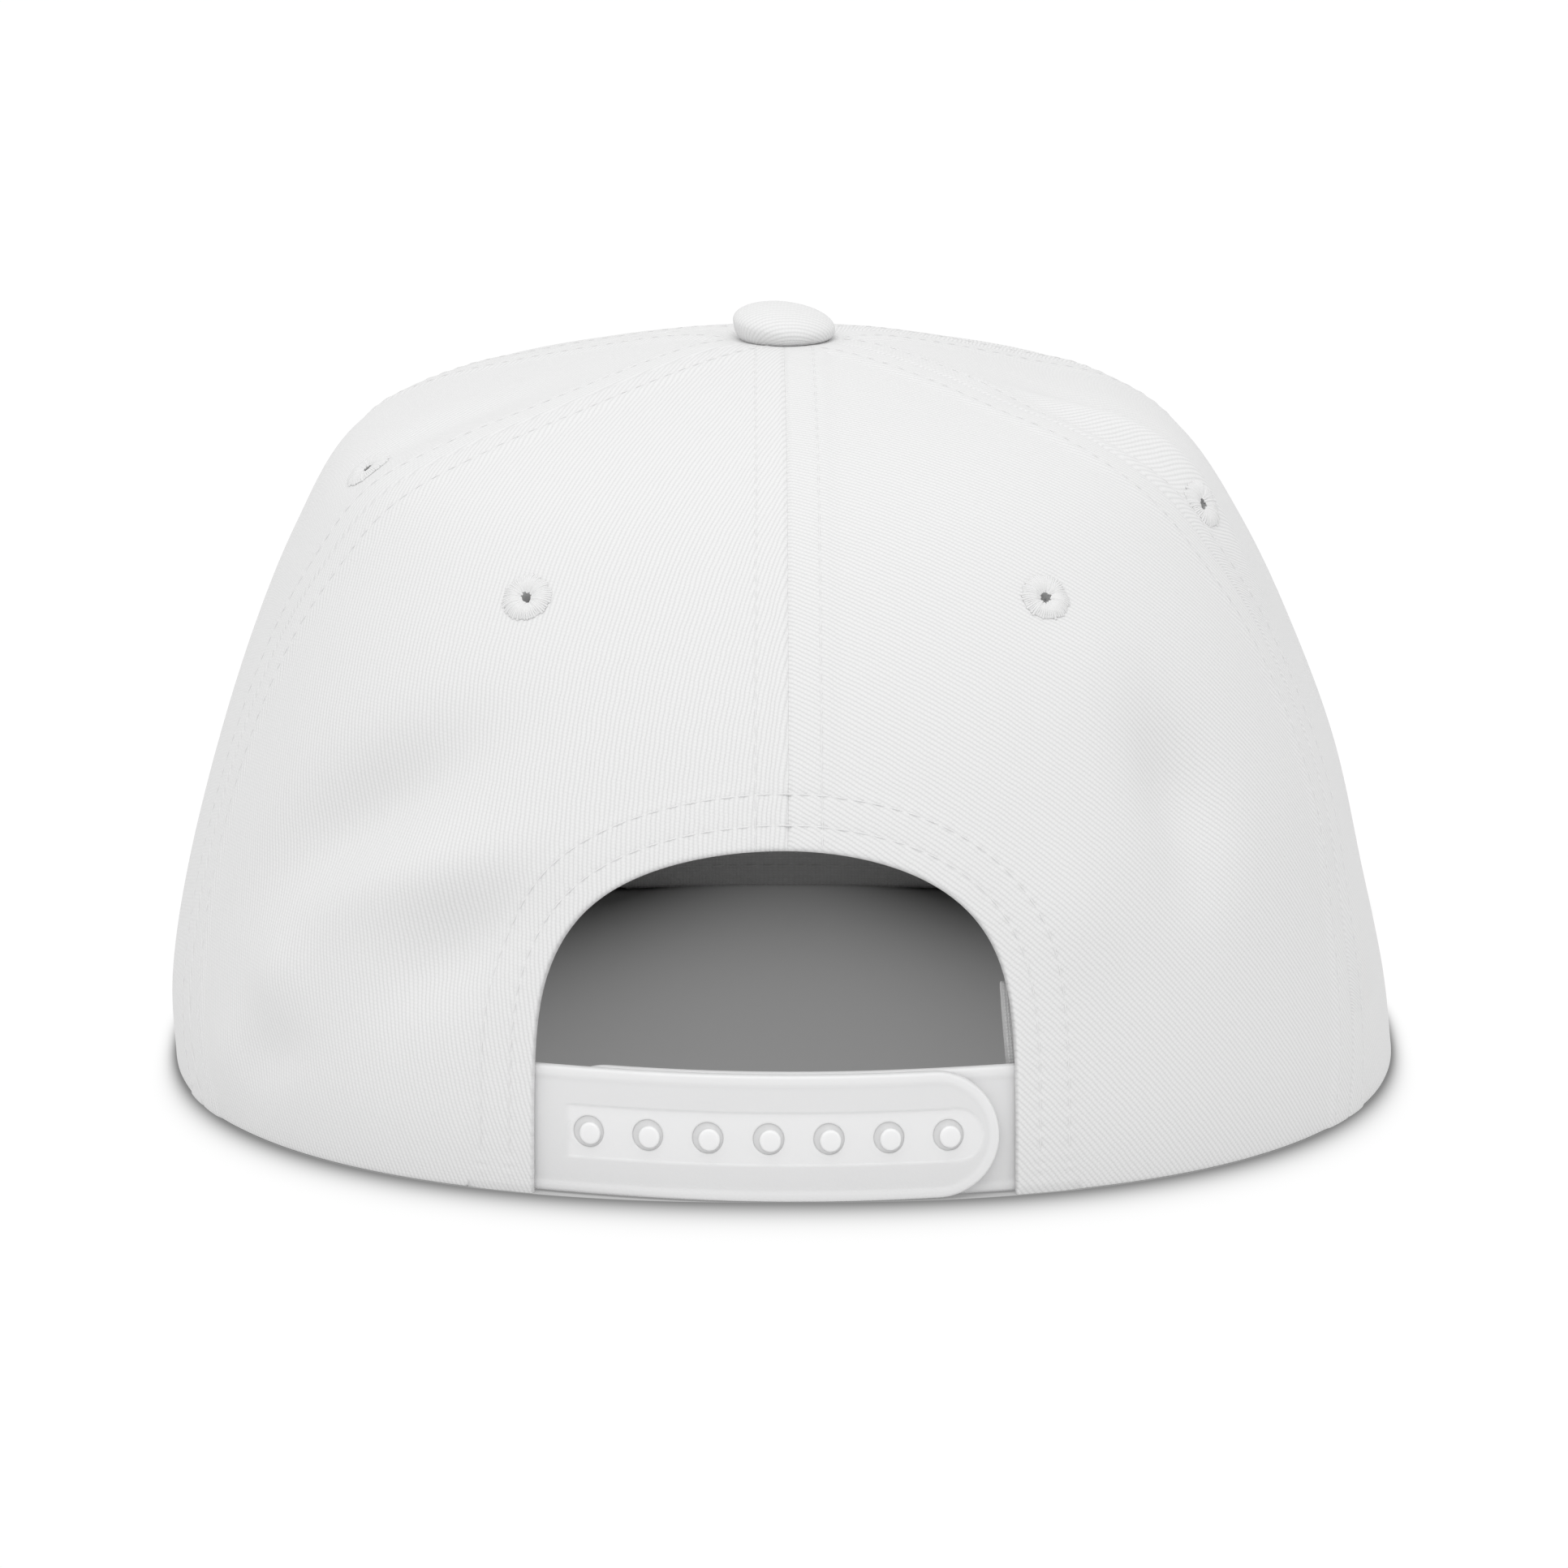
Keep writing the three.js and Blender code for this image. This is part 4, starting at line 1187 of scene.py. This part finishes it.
# Sweatband. A band of plain cotton, folded at its top and sewn in round the rim, from one
# side of the opening to the other. Its right end shows beside the opening.
band_height = 28 * mm
band_thickness = 1.2 * mm
band_floor_gap = 0.4 * mm
band_lean = 0.8 * mm
band_right_peek = -0.85 * mm
band_left_tuck = 1.5 * mm
band_ease_length = 12 * mm
band_mean_radius = 90 * mm
band_fold_depth = 0.45 * mm
band_fold_radius = 0.6 * mm
band_foot_share = 0.1
band_stitch_row = 4
strap_tuck = 9 * mm
strap_thickness = 1.2 * mm
layer_gap = 0.3 * mm
band_columns = 420


def band_material():
    """White plain-woven cotton, a fine square grid of yarns."""
    yarn_pitch = 0.45 * mm
    yarn_height = 0.05 * mm
    fuzz_height = 0.04 * mm
    weave_tone = 0.6
    uneven_tone = 0.4
    hollow_colour = (0.66, 0.66, 0.66, 1)
    raised_colour = (0.76, 0.76, 0.76, 1)
    material, plug, shader = new_material("band_cloth", Roughness=0.9, Sheen_Weight=0.1,
                                          Specular_IOR_Level=0.2)
    cloth = plug.node("ShaderNodeAttribute", {"attribute_name": "cloth"}, {}, "Vector")
    across = cloth.part("X")
    upward = cloth.part("Y")
    warp = abs(plug.math("SINE", across * (math.pi / yarn_pitch)))
    weft = abs(plug.math("SINE", upward * (math.pi / yarn_pitch)))
    uneven = plug.node("ShaderNodeTexNoise", {}, {"Vector": cloth, "Scale": 700, "Detail": 3})
    weave = warp * weft
    # The hollows between the yarns are painted darker, as painted shade.
    shade = weave * weave_tone + uneven * uneven_tone
    relief = weave * yarn_height + uneven * fuzz_height
    paint(plug, shader, hollow_colour, raised_colour, shade, relief)
    return material


def bearing_at_reach(reach):
    """The rear bearing at which the rim is at a reach, left positive."""
    share = np.clip(np.abs(reach) / (crown_width / 2), 0, 1)
    bearing = np.degrees(np.arccos(share ** (crown_squareness / 2)))
    return np.where(reach >= 0, bearing, 180 - bearing)


band_start = float(bearing_at_reach(band_right_peek - opening_right_reach)) - 360
band_end = float(bearing_at_reach(opening_left_reach + band_left_tuck))
band_shares = np.concatenate([(0, 0.01, 0.03), np.linspace(0.07, 0.93, 16), (0.97, 0.99, 1)])
band_bearings = np.linspace(band_start, band_end, band_columns)
bearing, share = [grid.ravel() for grid in np.meshgrid(band_bearings, band_shares)]
rim = smooth_crown(bearing, 0.0)
opening_reach = np.where(rim[:, 0] > 0, opening_left_reach, opening_right_reach)
past = np.abs(rim[:, 0]) - opening_reach - strap_tuck - layer_gap
near_strap = np.where(rim[:, 1] > 0, 1 - smoothstep(past, 0, band_ease_length), 0)
room = near_strap * (strap_thickness + layer_gap)
band_up = up_at_height(bearing, band_floor_gap + share * band_height)
outward = facing(crown_face, bearing, band_up)[2]
outward[:, 2] *= smoothstep(share, 0, band_foot_share)
outward = unit(outward)
end_distance = np.minimum(share, 1 - share) * band_height
near_end = 1 - np.clip(end_distance / band_fold_radius, 0, 1)
rounding = band_fold_depth * (1 - np.sqrt(1 - near_end ** 2))
deep = crown_wall + layer_gap + room + share * band_lean
band_face = crown_face(bearing, band_up)
band_outer = band_face - outward * (deep + rounding)[:, None]
band_inner = band_face - outward * (deep + band_thickness - rounding)[:, None]
band_length = np.radians(bearing) * band_mean_radius
rows = len(band_shares)
band_faces = grid_faces(rows, band_columns)
band_values = {"cloth": flat_vectors(band_length, share * band_height)}
sweatband = wall("sweatband", band_faces, band_outer, band_inner, band_material(), band_values)
ride_in_place(sweatband, "band_cloth", "sweatband")

band_line = band_inner.reshape(rows, band_columns, 3)[band_stitch_row]
band_ways = -outward.reshape(rows, band_columns, 3)[band_stitch_row]
band_stitches = sew("band_stitches", [(band_line, band_ways, False)], Pitch=stitch_pitch,
                    Length=stitch_length, Radius=thread_radius, Rise=0.45 * mm,
                    Dive=0.12 * mm, Turn=0.0, Unevenness=0.06, Seed=2, Thread=thread)
ride_in_place(band_stitches, "thread")


# Snap straps. Two strips of milky soft plastic cross the opening. The one from the left
# lies outside and has seven holes in a sunk panel. The one from the right lies behind,
# and its seven pegs stand in the holes. Both have a bead along their edges.
strap_width = 16.9 * mm
strap_floor_gap = 0.1 * mm
strap_bulge = 1.4 * mm
strap_tip_length = 8.6 * mm
snap_count = 7
snap_pitch = 8.15 * mm
snap_edge_margin = 7.5 * mm
snap_tip_margin = 7.1 * mm
peg_tip_margin = 6.6 * mm
panel_left = 29.2 * mm
panel_right = -27.2 * mm
panel_half_height = 3.45 * mm
panel_depth = 0.16 * mm
panel_side_slope = 0.08 * mm
bead_height = 0.13 * mm
bead_outer_width = 0.3 * mm
bead_inner_slope = (1.1 * mm, 1.7 * mm)
strap_edge_radius = 0.45 * mm
strap_column_step = 0.42 * mm
strap_tip_crowding = 1.25
strap_tip_flat_share = 0.03
collar_foot_height = 0.1 * mm
collar_height = 1.3 * mm
collar_slack = 0.1 * mm
peg_top_rise = 0.2 * mm
peg_offset = 0.22 * mm
# Painted light and shade on the straps: the sunk panel, the beads and the peg tops are painted
# lighter, and the collar ring round each peg is painted darker as shade.
panel_painted_light = 0.7
bead_painted_light = 0.45
collar_painted_shade = -0.8
peg_top_painted_light = 1
hole_back_share = 0.5


def plastic_material():
    """Milky soft plastic with a faint grain. It lets some light through, and has painted light
    and shade where the mesh marks it."""
    cloud_tone = 0.07
    plain_tone = 0.62
    painted_shading_tone = 0.34
    dark_colour = (0.56, 0.56, 0.562, 1)
    light_colour = (0.84, 0.84, 0.843, 1)
    grain_height = 0.012 * mm
    material, plug, shader = new_material("strap_plastic", Roughness=0.36, IOR=1.5,
                                          Subsurface_Weight=0.35, Subsurface_Scale=1 * mm,
                                          Subsurface_Radius=(1, 1, 1))
    place = plug.node("ShaderNodeTexCoord", {}, {}, "Object")
    cloud = plug.node("ShaderNodeTexNoise", {}, {"Vector": place, "Scale": 90, "Detail": 3})
    grain = plug.node("ShaderNodeTexNoise", {}, {"Vector": place, "Scale": 2200, "Detail": 2})
    painted_shading = plug.node("ShaderNodeAttribute", {"attribute_name": "tone_and_painted_shading"}, {}, "Vector")
    tone_and_painted_shading = cloud * cloud_tone + plain_tone + painted_shading.part("X") * painted_shading_tone
    paint(plug, shader, dark_colour, light_colour, tone_and_painted_shading, grain * grain_height)
    return material


strap_plastic = plastic_material()
strap_middle = strap_floor_gap + strap_width / 2
snap_reaches = opening_left_reach - snap_edge_margin - snap_pitch * np.arange(snap_count)
strap_heights = np.array((8.45, 8.35, 8.2, 7.95, 7.65, 7.35, 7.05, 6.75, 6.3, 5.75, 5.2, 4.6,
                          4.1, 3.75, 3.55, 3.4, 3.25, 3.0, 2.6, 2.1, 1.6, 1.1, 0.55)) / 8.45


def strap_depth(reach):
    """How deep the outer face of the strap with holes lies under the crown's face."""
    span = opening_left_reach + opening_right_reach
    share = np.clip((opening_left_reach - reach) / span, 0, 1)
    bulge = strap_bulge * (1 - np.cos(2 * math.pi * share)) / 2
    return crown_wall + layer_gap - (strap_thickness + layer_gap) * share - bulge


def strap_points(reach, height, depth):
    """Points at a depth inside the crown's rear face, and the level way out there."""
    bearing = bearing_at_reach(reach)
    up = up_at_height(bearing, height)
    outward = facing(smooth_crown, bearing, up)[2]
    outward[..., 2] = 0
    outward = unit(outward)
    return smooth_crown(bearing, up) - outward * depth[..., None], outward


def strap_grid(tip, root):
    """A strap's flat faces. A place is a reach, a height, a distance from the strap's edge
    and a lift over its face."""
    columns = round(abs(root - tip) / strap_column_step)
    along = np.linspace(0, 1, columns) ** strap_tip_crowding
    reach = tip + (root - tip) * along
    from_tip = np.clip(np.abs(reach - tip) / strap_tip_length, 0, 1)
    half = np.maximum(np.sqrt(1 - (1 - from_tip) ** 2), strap_tip_flat_share) * strap_width / 2
    shares = np.concatenate([-strap_heights, [0], strap_heights[::-1]])
    if root > tip:
        reach = reach[::-1]
        half = half[::-1]
    height = strap_middle + half * shares[:, None]
    reach = np.broadcast_to(reach, height.shape)
    centre = tip + math.copysign(strap_tip_length, root - tip)
    beyond = np.maximum((centre - reach) * math.copysign(1, root - tip), 0)
    round_reach = beyond * (strap_width / 2 / strap_tip_length)
    edge = strap_width / 2 - np.hypot(height - strap_middle, round_reach)
    places = np.stack([reach, height, np.maximum(edge, 0), 0 * height], axis=-1)
    return places.reshape(-1, 4), grid_faces(len(shares), columns)


def ring_round(places, faces, reach, radii, lifts):
    """Cuts a round hole at the first radius and borders it with rings at the others."""
    def outside(places):
        away = np.hypot(places[:, 0] - reach, places[:, 1] - strap_middle)
        return away - radii[0]

    places, faces, chain = cut(places, faces, outside)
    angles = np.arctan2(places[chain, 1] - strap_middle, places[chain, 0] - reach)
    order = np.argsort(angles)
    chain = [chain[i] for i in order]
    angles = angles[order]
    rings = []
    for radius, lift in zip(radii[1:], lifts[1:]):
        aside = peg_offset * (lift > collar_height)
        rings.append(np.stack([reach - aside + radius * np.cos(angles),
                               strap_middle - aside + radius * np.sin(angles),
                               places[chain, 2], np.full(len(chain), lift)], axis=-1))
    places, faces = border(places, faces, chain, rings, True)
    return places, faces, len(chain)


def strap_relief(edge):
    """The height of the bead along the strap's edge, and how far the edge is rounded off."""
    near = 1 - np.clip(edge / strap_edge_radius, 0, 1)
    rounding = strap_edge_radius * (1 - np.sqrt(1 - near * near))
    bead = bead_height * smoothstep(edge, 0, bead_outer_width)
    bead = bead * (1 - smoothstep(edge, *bead_inner_slope))
    return bead, rounding


def in_panel(reach, height):
    """One inside the sunk panel, square at its left end and round at its right."""
    turn = panel_right + panel_half_height
    right = np.hypot(np.minimum(reach - turn, 0), height - strap_middle) - panel_half_height
    left = np.maximum(np.abs(height - strap_middle) - panel_half_height, reach - panel_left)
    outside = np.where(reach < turn, right, left)
    return 1 - smoothstep(outside, -panel_side_slope, panel_side_slope)


def strap(name, tip, root, layer, panel, hole_radii, hole_lifts, capped):
    """A strap between its rounded tip and its root, with holes or pegs along it."""
    places, faces = strap_grid(tip, root)
    for reach in snap_reaches:
        places, faces, count = ring_round(places, faces, reach, hole_radii, hole_lifts)
        if capped:
            faces.append(list(range(len(places) - 1, len(places) - 1 - count, -1)))
    reach, height, edge, lift = places.T
    bead, rounding = strap_relief(edge)
    sunk = panel * in_panel(reach, height)
    out = bead - rounding + lift - panel_depth * sunk
    face, outward = strap_points(reach, height, strap_depth(reach) + layer)
    back = strap_thickness - rounding
    if not capped:
        back = back + np.minimum(lift, 0) * hole_back_share
    outer = face + outward * out[:, None]
    inner = face - outward * back[:, None]
    collar = capped * (lift > collar_foot_height) * (lift < collar_height + collar_slack)
    peg_top = capped * (lift > collar_height + peg_top_rise)
    # Painted light and shade: lighter sunk panel, beads and peg tops, and darker collar rings
    # round the pegs.
    tone_and_painted_shading = sunk * panel_painted_light + bead_painted_light * bead / bead_height
    tone_and_painted_shading = tone_and_painted_shading + collar_painted_shade * collar + peg_top_painted_light * peg_top
    values = {"tone_and_painted_shading": flat_vectors(tone_and_painted_shading, 0)}
    return wall(name, faces, outer, inner, strap_plastic, values)


hole_radii = np.array((3.0, 2.75, 2.5, 2.35, 2.22, 2.14, 2.1)) * mm
hole_lifts = np.array((0, 0.01, 0.03, 0.04, 0.03, -0.01, -0.05)) * mm
snap_strap = strap("snap_strap", snap_reaches[-1] - snap_tip_margin,
                   opening_left_reach + strap_tuck, 0, 1, hole_radii, hole_lifts, False)
ride_in_place(snap_strap, "strap_plastic", "snap_strap")

peg_radii = np.array((2.25, 2.2, 2.12, 2.1, 1.75, 1.5, 1.42, 1.37, 1.28, 1.1, 0.6)) * mm
peg_lifts = np.array((0, 0.25, 0.3, 1.2, 1.3, 1.34, 1.55, 1.68, 1.76, 1.8, 1.82)) * mm
peg_strap = strap("peg_strap", snap_reaches[0] + peg_tip_margin,
                  -opening_right_reach - strap_tuck, strap_thickness + layer_gap, 0,
                  peg_radii, peg_lifts, True)
ride_in_place(peg_strap, "strap_plastic", "peg_strap")


# Floor and light. A white studio floor that glows evenly, with a painted shadow along the
# cap's foot, even light all round and a large soft lamp above.
floor_size = 4000 * mm
floor_drop = 0.05 * mm
floor_glow = 1.01
foot_shade = 0.75
shade_reach_behind = 7.2 * mm
shade_reach_beside = 1.0 * mm
shade_ahead_length = 100 * mm
shade_ahead_least = 0.4
shade_falloff = 1.4
shade_on_cap = 0.3
# Under the cap the floor is painted dull grey as shade and glows faintly with painted light,
# brightest near the opening.
painted_inner_glow = 0.26
inner_dimming = 0.045
inner_glow_start = 58 * mm
inner_glow_length = 159 * mm
inner_glow_width = 100 * mm
inner_narrowing_length = 188 * mm
inner_narrowing_least = 0.05
inner_falloff_inward = 4.2
inner_falloff_aside = 2.3
covered_floor_painted_shade_colour = (0.3, 0.3, 0.3, 1)
covered_edge_width = 0.2 * mm
sky_strength = 0.82
lamp_power = 3.3
lamp_size = 700 * mm
lamp_place = (0.06, 0.35, 0.9)


def floor_material():
    """White floor. It glows around the cap, with a painted shadow along its foot that the camera
    sees in full and other rays only in part, so the cap itself still gets most of the glow. Where
    the cap covers the floor, it is painted dull grey as shade and glows faintly with painted light
    for the light that comes through the white cloth and in at the opening."""
    material = bpy.data.materials.new("floor")
    material.use_nodes = True
    nodes = material.node_tree.nodes
    nodes.remove(nodes["Principled BSDF"])
    plug = Plug(material.node_tree)
    place = plug.node("ShaderNodeTexCoord", {}, {}, "Object")
    x = abs(place.part("X"))
    y = place.part("Y") - crown_centre[1]
    radius = (x * x + y * y) ** 0.5 + 0.01 * mm
    crown_x = (x / (crown_width / 2)) ** crown_squareness
    crown_y = (abs(y) / (crown_length / 2)) ** crown_squareness
    past_crown = radius * (1 - (crown_x + crown_y) ** (-1 / crown_squareness))
    ahead = plug.math("MAXIMUM", widest - y, 0)
    behind = plug.math("MINIMUM", plug.math("MAXIMUM", y - widest, 0) / peak_flare_length, 1)
    half = peak_width / 2 - behind * behind * (peak_width / 2 - flare_end[0])
    peak_x = (x / half) ** peak_squareness
    peak_y = (ahead / (widest - front)) ** peak_squareness
    peak_radius = (x * x + ahead * ahead) ** 0.5
    past_peak = peak_radius * (1 - (peak_x + peak_y) ** (-1 / peak_squareness))
    past_peak = plug.math("MAXIMUM", past_peak, y)
    past = plug.math("MINIMUM", past_crown, past_peak)
    endways = plug.math("MAXIMUM", y / radius, 0) ** 2
    ahead_share = 1 + plug.math("MINIMUM", y, 0) / shade_ahead_length
    ahead_share = plug.math("MAXIMUM", ahead_share, shade_ahead_least)
    beside = shade_reach_beside * ahead_share
    reach = beside + endways * (shade_reach_behind - shade_reach_beside)
    away = plug.math("MAXIMUM", past, 0) / reach
    # Painted shadow along the foot: the camera sees it in full, other rays only in part.
    seen = plug.node("ShaderNodeLightPath", {}, {}, "Is Camera Ray")
    shade = plug.math("POWER", math.e, -1 * away ** shade_falloff)
    shade = shade * (seen * (1 - shade_on_cap) + shade_on_cap)
    glow = plug.node("ShaderNodeEmission", {}, {"Strength": floor_glow * (1 - foot_shade * shade)})
    # Painted light on the covered floor, strongest near the opening and fading inward and to the
    # sides.
    inward = plug.math("MAXIMUM", inner_glow_start - y, 0) / inner_glow_length
    narrowing = 1 + (y - inner_glow_start) / inner_narrowing_length
    narrowing = plug.math("MAXIMUM", narrowing, inner_narrowing_least)
    aside = x / (inner_glow_width * narrowing)
    fading = inward ** inner_falloff_inward + aside ** inner_falloff_aside
    strength = painted_inner_glow * plug.math("POWER", math.e, -1 * fading) - inner_dimming
    strength = plug.math("MAXIMUM", strength, 0)
    covered = plug.node("ShaderNodeEmission", {}, {"Strength": strength})
    dull = plug.node("ShaderNodeBsdfDiffuse", {}, {"Color": covered_floor_painted_shade_colour})
    covered = plug.node("ShaderNodeAddShader", {}, {0: covered, 1: dull})
    clear = plug.math("MINIMUM", plug.math("MAXIMUM", past / covered_edge_width + 1, 0), 1)
    mixed = plug.node("ShaderNodeMixShader", {}, {0: clear, 1: covered, 2: glow})
    material.node_tree.links.new(mixed.socket, nodes["Material Output"].inputs["Surface"])
    return material


floor_corners = np.array([(-1, -1), (1, -1), (1, 1), (-1, 1)]) * floor_size / 2
floor_points = np.column_stack([floor_corners, np.full(4, -floor_drop)])
floor = new_piece("floor", floor_points, [[0, 1, 2, 3]], floor_material())

world = bpy.data.worlds.new("studio")
world.use_nodes = True
world.node_tree.nodes["Background"].inputs["Color"].default_value = (1, 1, 1, 1)
world.node_tree.nodes["Background"].inputs["Strength"].default_value = sky_strength
bpy.context.scene.world = world

lamp_data = bpy.data.lights.new("lamp", "AREA")
lamp_data.energy = lamp_power
lamp_data.size = lamp_size
lamp = bpy.data.objects.new("lamp", lamp_data)
lamp.location = lamp_place
lamp.rotation_mode = "QUATERNION"
lamp.rotation_quaternion = (lamp.location - camera_aim).to_track_quat("Z", "Y")
bpy.context.scene.collection.objects.link(lamp)

bpy.context.scene.view_settings.view_transform = "Standard"
bpy.context.scene.view_settings.look = "None"
